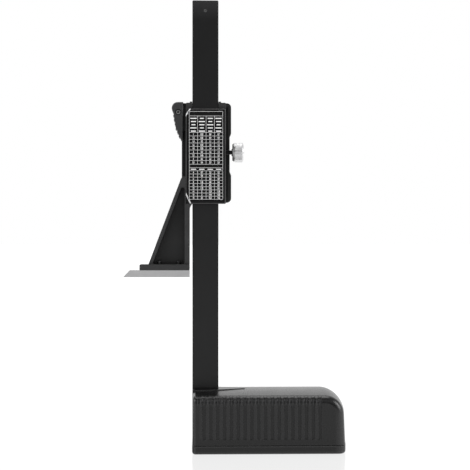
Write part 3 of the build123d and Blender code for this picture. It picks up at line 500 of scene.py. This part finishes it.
def bevelled_plate(name, color, highlight_color, cuts, band):
    """Dark coated plate with painted highlights: paler bevels, and a brightest, partly metallic band painted
    along its cut corners.

    Each cut is the corner's X and Z and its reach along both, inwards, all in millimetres.
    """
    material, tree = new_finish(name)
    speck = tree.noise(tree.place(), 2.5, detail=2)
    broad = tree.noise(tree.place(), 0.12, detail=2)
    place = tree.add("SeparateXYZ", {}, {"Vector": tree.place()}, output="X")
    waver, bevel_tone = 0.4, 0.1
    corner = 0
    # Painted highlight: a bright band along each cut corner.
    for corner_x, corner_z, reach_x, reach_z in cuts:
        across = (place - corner_x) * (1 / reach_x) + (place.output("Z") - corner_z) * (1 / reach_z) - 1
        depth = across * (reach_x**-2 + reach_z**-2) ** -0.5 + (broad - 0.5) * waver
        corner = (depth < band) + corner
    # Painted highlight on the bevels, the faces turned part way from Y.
    bevel = tree.facing("Y").within(0.5, 0.9) * broad.spread(-0.4, 0.6)
    body = tree.blend(broad, rgba(color, 0.8), rgba(color, 1.2))
    edged = tree.blend(bevel, body, rgba(highlight_color, bevel_tone))
    tree.surface(
        base_color=tree.blend(corner, edged, rgba(highlight_color)),
        metallic=corner * 0.25,
        roughness=speck * 0.12 + 0.36,
        specular_ior_level=0.15,
        normal=tree.bump(speck, 0.006),
    )
    return material


def rubbed_screw(name, color, rim, middle, radius):
    """Black screw with a pale, partly metallic ring painted round its end as a highlight. The middle and
    radius are in millimetres.
    """
    ring_inner, ring_outer = radius * 0.62, radius * 1.02
    material, tree = new_finish(name)
    point = tree.place()
    speck = tree.noise(point, 1.6, detail=3)
    away = tree.add("VectorMath", {"operation": "SUBTRACT"}, {0: point, 1: middle})
    flat = tree.add("VectorMath", {"operation": "MULTIPLY"}, {0: away, 1: (1, 0, 1)})
    reach = tree.add("VectorMath", {"operation": "LENGTH"}, {0: flat}, output="Value")
    # Painted highlight: a pale ring on the faces turned along Y.
    ring = reach.within(ring_inner, ring_outer) * tree.facing("Y").spread(0.2, 0.6)
    tree.surface(
        base_color=tree.blend(ring, rgba(color), rgba(rim)),
        metallic=ring * 0.5,
        roughness=speck * 0.15 + 0.32,
        normal=tree.bump(speck, 0.004, tree.rounded(0.1)),
    )
    return material


def screw_plating(name, color, shank_end, collar_end):
    """Bright plating with its turned grain, darker on the collar, over a shank left dark.

    The ends of shank and collar are places along X in millimetres.
    """
    collar_tone, shank_color = 0.45, (0.02, 0.02, 0.021, 1)
    material, tree = new_finish(name)
    point = tree.place()
    grain = tree.noise(tree.place((2.0, 0.4, 0.4)), 1.6, detail=4, roughness=0.6)
    speck = tree.noise(point, 1.4, detail=3)
    along = tree.add("SeparateXYZ", {}, {"Vector": point}, output="X")
    dark = along < shank_end
    bright = tree.blend(grain * 0.5 + speck * 0.5, rgba(color, 0.75), rgba(color, 1.15))
    bright = tree.blend(along < collar_end, bright, rgba(color, collar_tone))
    tree.surface(
        base_color=tree.blend(dark, bright, shank_color),
        metallic=1.0,
        roughness=speck * 0.2 + 0.22,
        normal=tree.bump(speck, 0.01, tree.rounded(0.12)),
    )
    return material


def ground(name, color, shine, along, scratch=0.004):
    """Ground or drawn metal with its grain along one axis."""
    material, tree = new_finish(name)
    lengthwise, crosswise = 0.08, 2.5
    stretch = [lengthwise if axis == along else crosswise for axis in "XYZ"]
    grain = tree.noise(tree.place(stretch), 2.2, detail=4, roughness=0.6)
    cloud = tree.noise(tree.place(), 0.15, detail=2)
    tree.surface(
        base_color=tree.blend(grain * 0.6 + cloud * 0.4, rgba(color, 0.8), rgba(color, 1.2)),
        metallic=1.0,
        roughness=grain * 0.18 + cloud * 0.08 + (shine - 0.12),
        normal=tree.bump(grain, scratch, tree.rounded(0.08)),
    )
    return material


def plain_print(name, color):
    """Printed ink with slightly uneven cover."""
    material, tree = new_finish(name)
    cover = tree.noise(tree.place(), 6.0, detail=2)
    tree.surface(
        base_color=tree.blend(cover, rgba(color, 0.86), rgba(color, 1.05)),
        roughness=cover * 0.2 + 0.35,
    )
    return material


def label_film(name):
    """Black printed film with a soft sheen."""
    material, tree = new_finish(name)
    cloud = tree.noise(tree.place(), 0.4, detail=3)
    tree.surface(
        base_color=tree.blend(cloud, grey(0.002), grey(0.005)),
        roughness=cloud * 0.15 + 0.4,
        specular_ior_level=0.15,
    )
    return material


def laminate(name, base, weave, shine):
    """Fibre laminate with a faint weave of two crossed threads."""
    material, tree = new_finish(name)
    point = tree.place()
    first, second = (
        tree.add("TexWave", {"bands_direction": axis}, {"Vector": point, "Scale": 1.2, "Distortion": 1.0})
        for axis in "XZ"
    )
    tree.surface(
        base_color=tree.blend(first * second, rgba(base), rgba(weave)),
        roughness=first * second * 0.1 + shine,
    )
    return material


def clear_pane(name):
    """Clear acrylic with a trace of haze."""
    material, tree = new_finish(name)
    haze = tree.noise(tree.place(), 0.3, detail=2)
    tree.surface(
        base_color=tree.blend(haze, (0.93, 0.95, 0.95, 1), (1, 1, 1, 1)),
        roughness=haze * 0.04 + 0.02,
        transmission_weight=1.0,
        ior=1.45,
    )
    return material


def display_glass(name):
    """Grey-green reflective display with a fine cell texture."""
    material, tree = new_finish(name)
    cell = tree.noise(tree.place(), 3.0, detail=2)
    tree.surface(
        base_color=tree.blend(cell, (0.30, 0.34, 0.29, 1), (0.36, 0.40, 0.345, 1)),
        roughness=cell * 0.1 + 0.25,
    )
    return material


def seen_directly(tree):
    """1 for camera, mirror and see-through rays, 0 for scattered light."""
    path = tree.add("LightPath", output="Is Camera Ray")
    mirrored = path.math("MAXIMUM", path.output("Is Glossy Ray"))
    return mirrored.math("MAXIMUM", path.output("Is Transmission Ray"))


# ---- Operators


class GAUGE_OT_stage(bpy.types.Operator):
    """Builds the camera, the lamps, the pale floor and the white surroundings"""

    bl_idname = "gauge.stage"
    bl_label = "Stage"

    # Each lamp's name, place and width in metres, and power in watts
    lamps = (
        ("key_lamp", (-0.9, -0.75, 0.95), 0.7, 9.0),
        ("side_lamp", (1.0, -0.35, 0.55), 0.6, 6.0),
        ("top_lamp", (0.05, 0.25, 1.3), 0.9, 8.0),
    )
    lamp_aim = (0.01, 0, 0.13)
    floor_width = 30
    # The floor's own light grows between these distances from the beam, in metres; the dimmer floor inside
    # them is a painted shadow round the gauge
    glow_start, glow_stop = 0.15, 0.6

    def execute(self, context):
        stage = context.scene.gauge_stage
        turn = Matrix.Rotation(-stage.turn, 4, "Z")
        bpy.ops.object.camera_add(
            location=turn @ Vector((stage.eye_side, -stage.distance, stage.eye_height)),
            rotation=(pi / 2, 0, -stage.turn),
        )
        camera = context.object
        camera.name = "camera"
        camera.data.lens = stage.lens
        camera.data.clip_start = 0.01
        camera.data.clip_end = 50
        context.scene.camera = camera
        context.scene.view_settings.view_transform = "Standard"
        for name, place, size, power in self.lamps:
            self.add_lamp(name, place, size, power)
        self.add_floor()
        self.add_surroundings(context)
        return {"FINISHED"}

    def add_lamp(self, name, place, size, power):
        """A square area lamp that points at the middle of the gauge."""
        clear_selection()
        aim = Vector(self.lamp_aim) - Vector(place)
        turn = aim.to_track_quat("-Z", "Y").to_euler()
        bpy.ops.object.light_add(type="AREA", location=place, rotation=turn)
        lamp = bpy.context.object
        lamp.name = name
        lamp.data.size = size
        lamp.data.energy = power

    def add_floor(self):
        """A wide floor that shows white and keeps the gauge's soft shadow and faint mirror image, with a
        painted shadow where its glow dims near the gauge.
        """
        clear_selection()
        bpy.ops.mesh.primitive_plane_add(size=self.floor_width, location=(0, 0, 0))
        floor = bpy.context.object
        floor.name = "floor"
        material, tree = new_finish("Pale floor")
        point = tree.add("TexCoord", output="Object")
        cloud = tree.noise(point, 2.0)
        reach = tree.add("VectorMath", {"operation": "LENGTH"}, {0: point}, output="Value")
        # Painted shadow: the floor's glow is dimmer near the gauge.
        away = reach.spread(self.glow_start, self.glow_stop)
        lit = tree.add("BsdfDiffuse", {}, {"Color": tree.blend(cloud, grey(0.095), grey(0.105))})
        bounce = tree.add("BsdfDiffuse", {}, {"Color": grey(0.8)})
        glow = tree.add("Emission", {}, {"Color": tree.blend(away, grey(0.752), grey(1)), "Strength": 1.25})
        mirror = tree.add("BsdfGlossy", {}, {"Color": grey(1), "Roughness": 0.12})
        mirror_limit = 0.2
        gloss = tree.add("Fresnel", {}, {"IOR": 1.19}).math("MINIMUM", mirror_limit)
        pale = tree.add("AddShader", {}, {0: lit, 1: glow})
        seen = tree.add("MixShader", {}, {0: gloss, 1: pale, 2: mirror})
        shown = tree.add("MixShader", {}, {0: seen_directly(tree), 1: bounce, 2: seen})
        tree.add("OutputMaterial", {}, {"Surface": shown})
        floor.data.materials.append(material)

    def add_surroundings(self, context):
        """White to the camera, pale screens to a mirror and an even middle grey as light."""
        dimmest, behind_gain, above_level, beside_level, light_level = 0.12, 0.88, 0.6, 0.9, 0.55
        world = bpy.data.worlds.new("Studio")
        context.scene.world = world
        tree = Tree(world)
        point = tree.add("TexCoord", output="Generated")
        direction = tree.add("SeparateXYZ", {}, {"Vector": point}, output="Y")
        behind = direction.spread(-0.05, 0.8) * behind_gain + dimmest
        height = direction.output("Z")
        above = height.spread(0.2, 0.4) * (1 - height.spread(0.7, 0.95)) * above_level
        beside = direction.output("X").math("ABSOLUTE").spread(0.6, 0.95) * beside_level
        path = tree.add("LightPath", output="Is Camera Ray")
        level = path.math("MAXIMUM", behind.math("MAXIMUM", above).math("MAXIMUM", beside))
        screens = tree.add("Background", {}, {"Color": grey(1), "Strength": level})
        light = tree.add("Background", {}, {"Color": grey(1), "Strength": light_level})
        shown = tree.add("MixShader", {}, {0: seen_directly(tree), 1: light, 2: screens})
        tree.add("OutputWorld", {}, {"Surface": shown})


class GAUGE_OT_finishes(bpy.types.Operator):
    """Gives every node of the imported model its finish"""

    bl_idname = "gauge.finishes"
    bl_label = "Finishes"

    # Reach of the back plate's upper and lower cut along X and Z, inwards, and the width of their band of
    # painted highlight, in millimetres
    upper_cut, lower_cut, cut_band = (2.2, -3.4), (2.5, 5.2), 0.75
    # Length of the lock screw's shank, and of its head without the collar, in millimetres
    shank_length, head_length = 7.8, 5.8

    def execute(self, context):
        tone = context.scene.gauge_finish
        plastic = moulded("Moulded black", tone.plastic, 0.42, 2.6, 0.03)
        base_color = rgba(tone.plastic, 0.17)
        # Painted highlights on the base: its edges are made strongly paler, and the mask given last paints
        # pale lines on its shoulder, ribs, sole rim and corners.
        base = moulded(
            "Base black", base_color, 0.27, 2.2, 0.02, wear_and_highlight_tone=8, gloss=0.43, rounding=0.5, painted_highlights=rubbed_base
        )
        keys = moulded("Key grey", (0.12, 0.12, 0.122), 0.5, 3.5, 0.012)
        beam = coated("Black beam coating", tone.beam, 0.34, 3.0, BEAM_TOP)
        cuts = (
            (PLATE_LOW.x, PLATE_HIGH.z, *self.upper_cut),
            (PLATE_LOW.x, PLATE_LOW.z, *self.lower_cut),
        )
        plate = bevelled_plate("Back plate coating", tone.plate, (0.75, 0.75, 0.755), cuts, self.cut_band)
        steel = ground("Ground steel", tone.steel, 0.36, "X")
        plating = screw_plating(
            "Plated steel", tone.plating, LOCK_LOW.x + self.shank_length, LOCK_HIGH.x - self.head_length
        )
        zinc = ground("Zinc plate", (0.55, 0.55, 0.56), 0.35, "Z", 0.002)
        # Painted highlight: the black screws' edges are made far paler to stand for a bright rim.
        black_screw = moulded("Black oxide", (0.03, 0.03, 0.032), 0.4, 3.0, 0.004, wear_and_highlight_tone=9)
        ballast = ground("Ballast steel", (0.16, 0.16, 0.165), 0.5, "X", 0.01)
        rubber = moulded("Silicone rubber", (0.06, 0.06, 0.065), 0.6, 2.0, 0.01)
        chip = moulded("Chip resin", (0.015, 0.015, 0.016), 0.5, 5.0, 0.005)
        shown = {
            base: ("base_housing", "sole_plate"),
            plastic: ("thumb_grip", "slider_frame", "display_housing", "battery_cover"),
            keys: ("button_on_off", "button_zero", "button_unit"),
            beam: ("beam",),
            plate: ("back_plate",),
            steel: ("scriber",),
            plating: ("lock_screw",),
            zinc: ("base_screws", "ballast_screws", "body_screws"),
            black_screw: ("beam_set_screws", "stop_screw", "thumb_grip_screw", "scriber_screws"),
            ballast: ("ballast_weight",),
            rubber: ("keypad_mat", "lcd_connectors"),
            chip: ("controller_chip",),
            ground("Rolled brass", (0.72, 0.55, 0.25), 0.35, "Z"): ("gib_strip",),
            ground("Cell steel", (0.7, 0.7, 0.7), 0.22, "X", 0.002): ("battery",),
            ground("Spring metal", (0.75, 0.65, 0.4), 0.3, "Z", 0.002): ("battery_contacts",),
            label_film("Label film"): ("table_label",),
            plain_print("Scale film", (0.82, 0.82, 0.80)): ("scale_film",),
            laminate("Scale laminate", (0.28, 0.24, 0.08), (0.34, 0.30, 0.12), 0.4): ("scale_strip",),
            laminate("Board laminate", (0.02, 0.13, 0.05), (0.04, 0.2, 0.09), 0.3): ("circuit_board",),
            clear_pane("Clear acrylic"): ("display_window",),
            display_glass("Display glass"): ("lcd_panel",),
        }
        dressed = set()
        for material, names in shown.items():
            for name in names:
                node = NODES[name]
                if not node.data.materials:
                    node.data.materials.append(material)
                for place in range(len(node.data.materials)):
                    node.data.materials[place] = material
                dressed.add(name)
        bare = sorted(set(NODES) - dressed)
        if bare:
            raise RuntimeError(f"these nodes have no finish: {bare}")
        return {"FINISHED"}


class GAUGE_OT_table_print(bpy.types.Operator):
    """Prints the table of plain numbers on the back label"""

    bl_idname = "gauge.table_print"
    bl_label = "Table print"

    # Plain thread sizes, pitches, and tapping holes for two kinds of thread, for both parts of the table
    sizes = ("1", "1.2", "1.4", "1.6", "1.8", "2", "2.5", "3", "3.5")
    pitches = ("0.25", "0.25", "0.3", "0.35", "0.35", "0.4", "0.45", "0.5", "0.6")
    drills = ("0.8", "0.9", "1.1", "1.2", "1.4", "1.6", "2.1", "2.5", "2.9")
    bores = ("0.7", "0.9", "1.1", "1.2", "1.4", "1.5", "2.0", "2.4", "2.8")
    low_sizes = ("4", "5", "6", "8", "10", "12", "14", "16", "18")
    low_pitches = ("0.7", "0.8", "1", "1.25", "1.5", "1.75", "2", "2", "2.5")
    low_drills = ("3.3", "4.2", "5.0", "6.8", "8.5", "10.2", "12.0", "14.0", "15.5")
    low_bores = ("3.2", "4.1", "4.9", "6.6", "8.3", "10.1", "11.8", "13.8", "15.3")

    # The upright lines along X, and the main level lines above the label's foot, in millimetres
    columns = (-9.9, -4.8, 0.4, 5.5, 10.6)
    levels = (0.12, 17.6, 19.5, 21.6, 41.1, 51.2, 53.95)
    # Letter size for a height of figure, and the figures' width and weight
    size_per_height, figure_width, figure_weight = 1.35, 0.52, 0.03
    # A first line of figures stands this share of a row below the row's top
    baseline_share = 0.82
    # Caption bars over the upper part: top one's level, pitch, half height, longest half and its steps
    caption_level, caption_pitch, caption_half, caption_reach, caption_step = 49.7, 1.95, 0.3, 1.9, 0.35
    caption_rows = 5
    # Caption bars over the lower part
    low_caption_half, low_caption_reach = 0.25, 1.6

    def execute(self, context):
        print_sizes = context.scene.gauge_print
        face = LABEL_LOW.y
        lift = print_sizes.ink_lift / MM
        width = print_sizes.line_width / MM
        pitch = print_sizes.row_pitch / MM
        columns = self.columns
        low, low_top, bar_low, bar_high, rows_top, head_low, top = (
            LABEL_LOW.z + level for level in self.levels
        )
        low_pitch = (low_top - low) / len(self.low_sizes)
        size = print_sizes.figure_height * self.size_per_height
        parts = [
            add_words(
                text, size, (x, face - lift, z), "-Y", gap * MM, self.figure_width, self.figure_weight
            )
            for text, x, z, gap in self.runs_of_figures(rows_top, pitch, low_top, low_pitch)
        ]
        for x in columns[1:-1]:
            parts.append(self.line(x - width / 2, x + width / 2, low, low_top, face, lift))
            parts.append(self.line(x - width / 2, x + width / 2, bar_high, head_low, face, lift))
        for x in (columns[0], columns[-1]):
            parts.append(self.line(x - width / 2, x + width / 2, low, top, face, lift))
        heights = [low, low_top, bar_low, bar_high, rows_top, head_low, top]
        heights += [rows_top - index * pitch for index in range(1, len(self.sizes))]
        heights += [low_top - index * low_pitch for index in range(1, len(self.low_sizes))]
        for z in heights:
            parts.append(self.line(columns[0], columns[-1], z - width / 2, z + width / 2, face, lift))
        for column, (left, right) in enumerate(zip(columns, columns[1:])):
            middle = (left + right) / 2
            half = self.caption_half
            for row in range(self.caption_rows):
                reach = self.caption_reach - self.caption_step * ((row + 2 * column) % 3)
                z = LABEL_LOW.z + self.caption_level - row * self.caption_pitch
                parts.append(self.line(middle - reach, middle + reach, z - half, z + half, face, lift))
            half, reach = self.low_caption_half, self.low_caption_reach
            z = (low_top + bar_low) / 2
            parts.append(self.line(middle - reach, middle + reach, z - half, z + half, face, lift))
        ink = plain_print("White print", context.scene.gauge_finish.ink)
        hand_over(joined(parts), "table_figures", "slider", ink, "table_print")
        return {"FINISHED"}

    def runs_of_figures(self, rows_top, pitch, low_top, low_pitch):
        """The text, middle, first baseline and pitch of each run of numbers."""
        upper = (self.sizes, self.pitches, self.drills, self.bores)
        lower = (self.low_sizes, self.low_pitches, self.low_drills, self.low_bores)
        for start, runs, gap in ((rows_top, upper, pitch), (low_top, lower, low_pitch)):
            for run, left, right in zip(runs, self.columns, self.columns[1:]):
                yield "\n".join(run), (left + right) / 2, start - self.baseline_share * gap, gap

    def line(self, left, right, low, high, face, lift):
        """A printed bar on the label."""
        return add_block((left, face - lift, low), (right, face, high))


class GAUGE_OT_scale_print(bpy.types.Operator):
    """Prints the millimetre scale on the beam's film"""

    bl_idname = "gauge.scale_print"
    bl_label = "Scale print"

    # Each kind of line: its step and its length. These and the sizes below are in millimetres
    lines = ((1, 2.2), (5, 3.2), (10, 4.4))
    line_half, film_margin = 0.12, 0.4
    number_step, number_size, number_middle = 10, 2.4, -2.6

    def execute(self, context):
        sizes = context.scene.gauge_print
        face = FILM_HIGH.y
        lift = sizes.ink_lift / MM
        zero = sizes.scale_zero / MM
        right = FILM_HIGH.x - self.film_margin
        half = self.line_half
        parts = []
        for step, length in self.lines:
            tick = add_block((right - length, face, zero - half), (right, face + lift, zero + half))
            clear_selection()
            bpy.context.view_layer.objects.active = tick
            bpy.ops.object.modifier_add(type="ARRAY")
            repeat = tick.modifiers[-1]
            repeat.count = sizes.scale_length // step + 1
            repeat.use_relative_offset = False
            repeat.use_constant_offset = True
            repeat.constant_offset_displace = (0, 0, step * MM)
            bpy.ops.object.modifier_apply(modifier=repeat.name)
            parts.append(tick)
        for value in range(0, sizes.scale_length + 1, self.number_step):
            place = (self.number_middle, face + lift, zero + value)
            parts.append(add_words(str(value), self.number_size * MM, place, "+Y"))
        ink = plain_print("Black print", grey(0.02))
        hand_over(joined(parts), "scale_marks", "stand", ink, "scale_print")
        return {"FINISHED"}


class GAUGE_OT_display_marks(bpy.types.Operator):
    """Makes the display's figures and the words beside the keys"""

    bl_idname = "gauge.display_marks"
    bl_label = "Display marks"

    # Bars lit for each figure, lettered clockwise from the top one, with g in the middle
    lit = {
        "0": "abcdef", "1": "bc", "2": "abged", "3": "abgcd", "4": "fgbc",
        "5": "afgcd", "6": "afgedc", "7": "abc", "8": "abcdefg", "9": "abcdfg",
    }
    # Sizes and places in millimetres, with heights from the middle of the glass
    reading, first_figure, figure_pitch = "10510", 7.6, 3.4
    bar_depth, bar_gap, corner_cut = 0.02, 0.06, 0.45
    point_left, point_right, point_low, point_high = -1.3, -0.6, 3.5, 2.8
    unit_size, unit_middle, unit_drop, unit_weight = 2.4, -8.9, 2.4, 0.02
    word_size, word_drop = 1.7, 1.5

    def execute(self, context):
        lift = context.scene.gauge_print.ink_lift / MM
        face = LCD_HIGH.y + lift
        middle = (LCD_LOW.z + LCD_HIGH.z) / 2
        parts = []
        for place, figure in enumerate(self.reading):
            x = self.first_figure - place * self.figure_pitch
            for letter in self.lit[figure]:
                parts.append(self.segment(letter, x, middle, face))
        point_foot = (self.point_left, face - self.bar_depth, middle - self.point_low)
        point_head = (self.point_right, face, middle - self.point_high)
        parts.append(add_block(point_foot, point_head))
        place = (self.unit_middle, face, middle - self.unit_drop)
        parts.append(add_words("mm", self.unit_size * MM, place, "+Y", weight=self.unit_weight))
        ink = plain_print("Display ink", (0.02, 0.022, 0.02))
        hand_over(joined(parts), "display_figures", "slider", ink, "lcd_glass")
        front = HOUSING_FRONT + lift
        keys = {"ON/OFF": "button_on_off", "ZERO": "button_zero", "mm/in": "button_unit"}
        words = []
        for text, node in keys.items():
            low, high = (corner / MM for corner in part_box(node))
            place = ((low.x + high.x) / 2, front, low.z - self.word_drop)
            words.append(add_words(text, self.word_size * MM, place, "+Y"))
        hand_over(joined(words), "key_words", "slider", bpy.data.materials["White print"], "table_print")
        return {"FINISHED"}

    def segment(self, letter, x, z, face):
        """One bar of a seven-bar figure, with its corners cut."""
        width, height, thick = 2.3, 6.2, 0.75
        places = {
            "a": (0, height / 2, True), "g": (0, 0, True), "d": (0, -height / 2, True),
            "b": (-width / 2, height / 4, False), "c": (-width / 2, -height / 4, False),
            "f": (width / 2, height / 4, False), "e": (width / 2, -height / 4, False),
        }
        side, up, flat = places[letter]
        long_half = (width / 2 if flat else height / 4) - self.bar_gap
        half = (long_half, thick / 2) if flat else (thick / 2, long_half)
        bar = add_block(
            (x + side - half[0], face - self.bar_depth, z + up - half[1]),
            (x + side + half[0], face, z + up + half[1]),
        )
        clear_selection()
        bpy.context.view_layer.objects.active = bar
        bar.select_set(True)
        bpy.ops.object.mode_set(mode="EDIT")
        bpy.ops.mesh.select_all(action="DESELECT")
        bpy.ops.mesh.select_mode(type="EDGE")
        bpy.ops.object.mode_set(mode="OBJECT")
        for edge in bar.data.edges:
            a, b = (bar.data.vertices[index].co for index in edge.vertices)
            edge.select = abs(a.y - b.y) > NEARLY_NOTHING
        bpy.ops.object.mode_set(mode="EDIT")
        bpy.ops.mesh.bevel(offset=thick * self.corner_cut * MM, segments=1)
        bpy.ops.object.mode_set(mode="OBJECT")
        return bar


class GAUGE_OT_screws(bpy.types.Operator):
    """Models the screws with driver recesses, domed heads and threads"""

    bl_idname = "gauge.screws"
    bl_label = "Screws"

    # Width of a driver slot as a share of its length
    slot_share = 0.22
    # Each screw under the sole: name, node, radii of head and shank. Sizes here are in millimetres
    sole_kinds = (("sole_screws", "base_screws", 2.7, 1.45), ("weight_screws", "ballast_screws", 3.8, 2.0))
    # The lock screw's thread: its gap from the frame, its end from the screw's own end and its pitch, then
    # the place and size of its ridge
    thread_gap, thread_end, thread_pitch = 0.15, 7.2, 0.5
    thread_radius, ridge_radius, ridge_sides, turn_steps = 1.24, 0.16, 4, 20

    def execute(self, context):
        self.thumb_screw()
        self.stop_screw()
        self.base_screws(bpy.data.materials["Zinc plate"])
        self.lock_thread(bpy.data.materials["Plated steel"])
        return {"FINISHED"}

    def cut_cross(self, head, middle, axis, reach, depth):
        """Cuts a cross recess about a point on the head's end."""
        tools = []
        for flat in (0, 1):
            half = [reach, reach, reach]
            half["XYZ".index(axis)] = depth
            across = [place for place in range(3) if "XYZ"[place] != axis]
            half[across[flat]] = reach * self.slot_share
            low = [m - h for m, h in zip(middle, half)]
            high = [m + h for m, h in zip(middle, half)]
            tools.append(add_block(low, high))
        for tool in tools:
            cut(head, tool)

    def thumb_screw(self):
        """Pan head screw of the thumb grip."""
        head_height, rounding, recess_share, recess_depth = 1.0, 0.3, 0.62, 0.5
        shank_start, shank_radius = 0.9, 0.8
        low, high = (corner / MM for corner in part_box("thumb_grip_screw"))
        x, z = (low.x + high.x) / 2, (low.z + high.z) / 2
        radius = (high.x - low.x) / 2
        head = add_rod(radius, (x, low.y + head_height / 2, z), head_height, "Y", sides=40)
        round_edges(head, rounding, segments=3)
        self.cut_cross(head, (x, low.y, z), "Y", radius * recess_share, recess_depth)
        middle = (x, (low.y + shank_start + high.y) / 2, z)
        shank = add_rod(shank_radius, middle, high.y - low.y - shank_start, "Y", sides=24)
        piece = smooth(joined([head, shank]))
        # The head gets a painted pale rim highlight.
        finish = rubbed_screw("Thumb screw black", grey(0.02), grey(0.34), (x, low.y, z), radius)
        hand_over(piece, "thumb_screw", "slider", finish, "black_screw", "thumb_grip_screw")

    def stop_screw(self):
        """Stop screw with a plain rounded end towards the camera and a domed cross head behind."""
        head_height, rounding, recess_share, recess_depth = 1.3, 0.4, 0.6, 0.6
        shank_stop, shank_radius, shank_rounding = 1.2, 0.95, 0.2
        low, high = (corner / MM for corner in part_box("stop_screw"))
        z = (low.z + high.z) / 2
        radius = (high.z - low.z) / 2
        head = add_rod(radius, (0, high.y - head_height / 2, z), head_height, "Y", sides=40)
        round_edges(head, rounding, segments=3)
        self.cut_cross(head, (0, high.y, z), "Y", radius * recess_share, recess_depth)
        middle = (0, (low.y + high.y - shank_stop) / 2, z)
        shank = add_rod(shank_radius, middle, high.y - low.y - shank_stop, "Y", sides=24)
        round_edges(shank, shank_rounding)
        piece = smooth(joined([head, shank]))
        # The end gets a painted pale rim highlight.
        finish = rubbed_screw("Stop screw black", grey(0.03), grey(0.09), (0, low.y, z), shank_radius)
        hand_over(piece, "stop_screw_turned", "stand", finish, "black_screw", "stop_screw")

    def base_screws(self, zinc):
        """Cross recessed screws under the sole, in two rows where their node is wide and else in one."""
        head_height, rounding, recess_share, recess_depth = 1.4, 0.35, 0.55, 0.8
        shank_start = 1.3
        for name, node, radius, shank in self.sole_kinds:
            low, high = (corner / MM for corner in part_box(node))
            two_rows = high.y - low.y > 3 * radius
            rows = (low.y + radius, high.y - radius) if two_rows else (0.0,)
            parts = []
            for x in (low.x + radius, high.x - radius):
                for y in rows:
                    head = add_rod(radius, (x, y, low.z + head_height / 2), head_height, "Z")
                    round_edges(head, rounding)
                    self.cut_cross(head, (x, y, low.z), "Z", radius * recess_share, recess_depth)
                    parts.append(head)
                    middle = (x, y, (low.z + shank_start + high.z) / 2)
                    parts.append(add_rod(shank, middle, high.z - low.z - shank_start, "Z", sides=16))
            hand_over(smooth(joined(parts)), name, "stand", zinc, "zinc_screw", node)

    def lock_thread(self, plating):
        """Thread on the bare length of the lock screw's shank."""
        start, end = FRAME_RIGHT + self.thread_gap, LOCK_LOW.x + self.thread_end
        axis_z = (LOCK_LOW.z + LOCK_HIGH.z) / 2
        clear_selection()
        bpy.ops.mesh.primitive_circle_add(
            vertices=self.ridge_sides,
            radius=self.ridge_radius * MM,
            location=(start * MM, 0, (axis_z + self.thread_radius) * MM),
            rotation=(pi / 2, 0, 0),
            fill_type="NOTHING",
        )
        ridge = settle(bpy.context.object)
        bpy.ops.object.modifier_add(type="SCREW")
        thread = ridge.modifiers[-1]
        thread.axis = "X"
        thread.screw_offset = self.thread_pitch * MM
        thread.iterations = max(1, int((end - start) / self.thread_pitch))
        thread.steps = self.turn_steps
        thread.render_steps = self.turn_steps
        bpy.context.scene.cursor.location = (0, 0, axis_z * MM)
        clear_selection()
        ridge.select_set(True)
        bpy.context.view_layer.objects.active = ridge
        bpy.ops.object.origin_set(type="ORIGIN_CURSOR")
        bpy.ops.object.modifier_apply(modifier=thread.name)
        bpy.context.scene.cursor.location = (0, 0, 0)
        settle(ridge)
        bpy.ops.object.mode_set(mode="EDIT")
        bpy.ops.mesh.select_all(action="SELECT")
        bpy.ops.mesh.remove_doubles(threshold=NEARLY_NOTHING)
        bpy.ops.mesh.fill_holes(sides=self.ridge_sides)
        bpy.ops.mesh.normals_make_consistent(inside=False)
        bpy.ops.object.mode_set(mode="OBJECT")
        hand_over(smooth(ridge), "lock_thread", "lock_screw", plating, "knurled_steel")


class GAUGE_PT_panel(bpy.types.Panel):
    """Lists the gauge's operators"""

    bl_idname = "GAUGE_PT_panel"
    bl_label = "Height gauge"
    bl_space_type = "VIEW_3D"
    bl_region_type = "UI"
    bl_category = "Gauge"

    def draw(self, context):
        for operator in OPERATORS:
            self.layout.operator(operator.bl_idname)


OPERATORS = (
    GAUGE_OT_stage,
    GAUGE_OT_finishes,
    GAUGE_OT_table_print,
    GAUGE_OT_scale_print,
    GAUGE_OT_display_marks,
    GAUGE_OT_screws,
)
CLASSES = (PrintSettings, FinishSettings, StageSettings, *OPERATORS, GAUGE_PT_panel)


def register():
    for cls in CLASSES:
        bpy.utils.register_class(cls)
    bpy.types.Scene.gauge_print = PointerProperty(type=PrintSettings)
    bpy.types.Scene.gauge_finish = PointerProperty(type=FinishSettings)
    bpy.types.Scene.gauge_stage = PointerProperty(type=StageSettings)


def unregister():
    del bpy.types.Scene.gauge_stage
    del bpy.types.Scene.gauge_finish
    del bpy.types.Scene.gauge_print
    for cls in reversed(CLASSES):
        bpy.utils.unregister_class(cls)


def main():
    """Dresses the gauge."""
    register()
    bpy.ops.gauge.stage()
    bpy.ops.gauge.finishes()
    bpy.ops.gauge.table_print()
    bpy.ops.gauge.scale_print()
    bpy.ops.gauge.display_marks()
    bpy.ops.gauge.screws()
    bpy.context.view_layer.update()


if __name__ == "__main__":
    main()
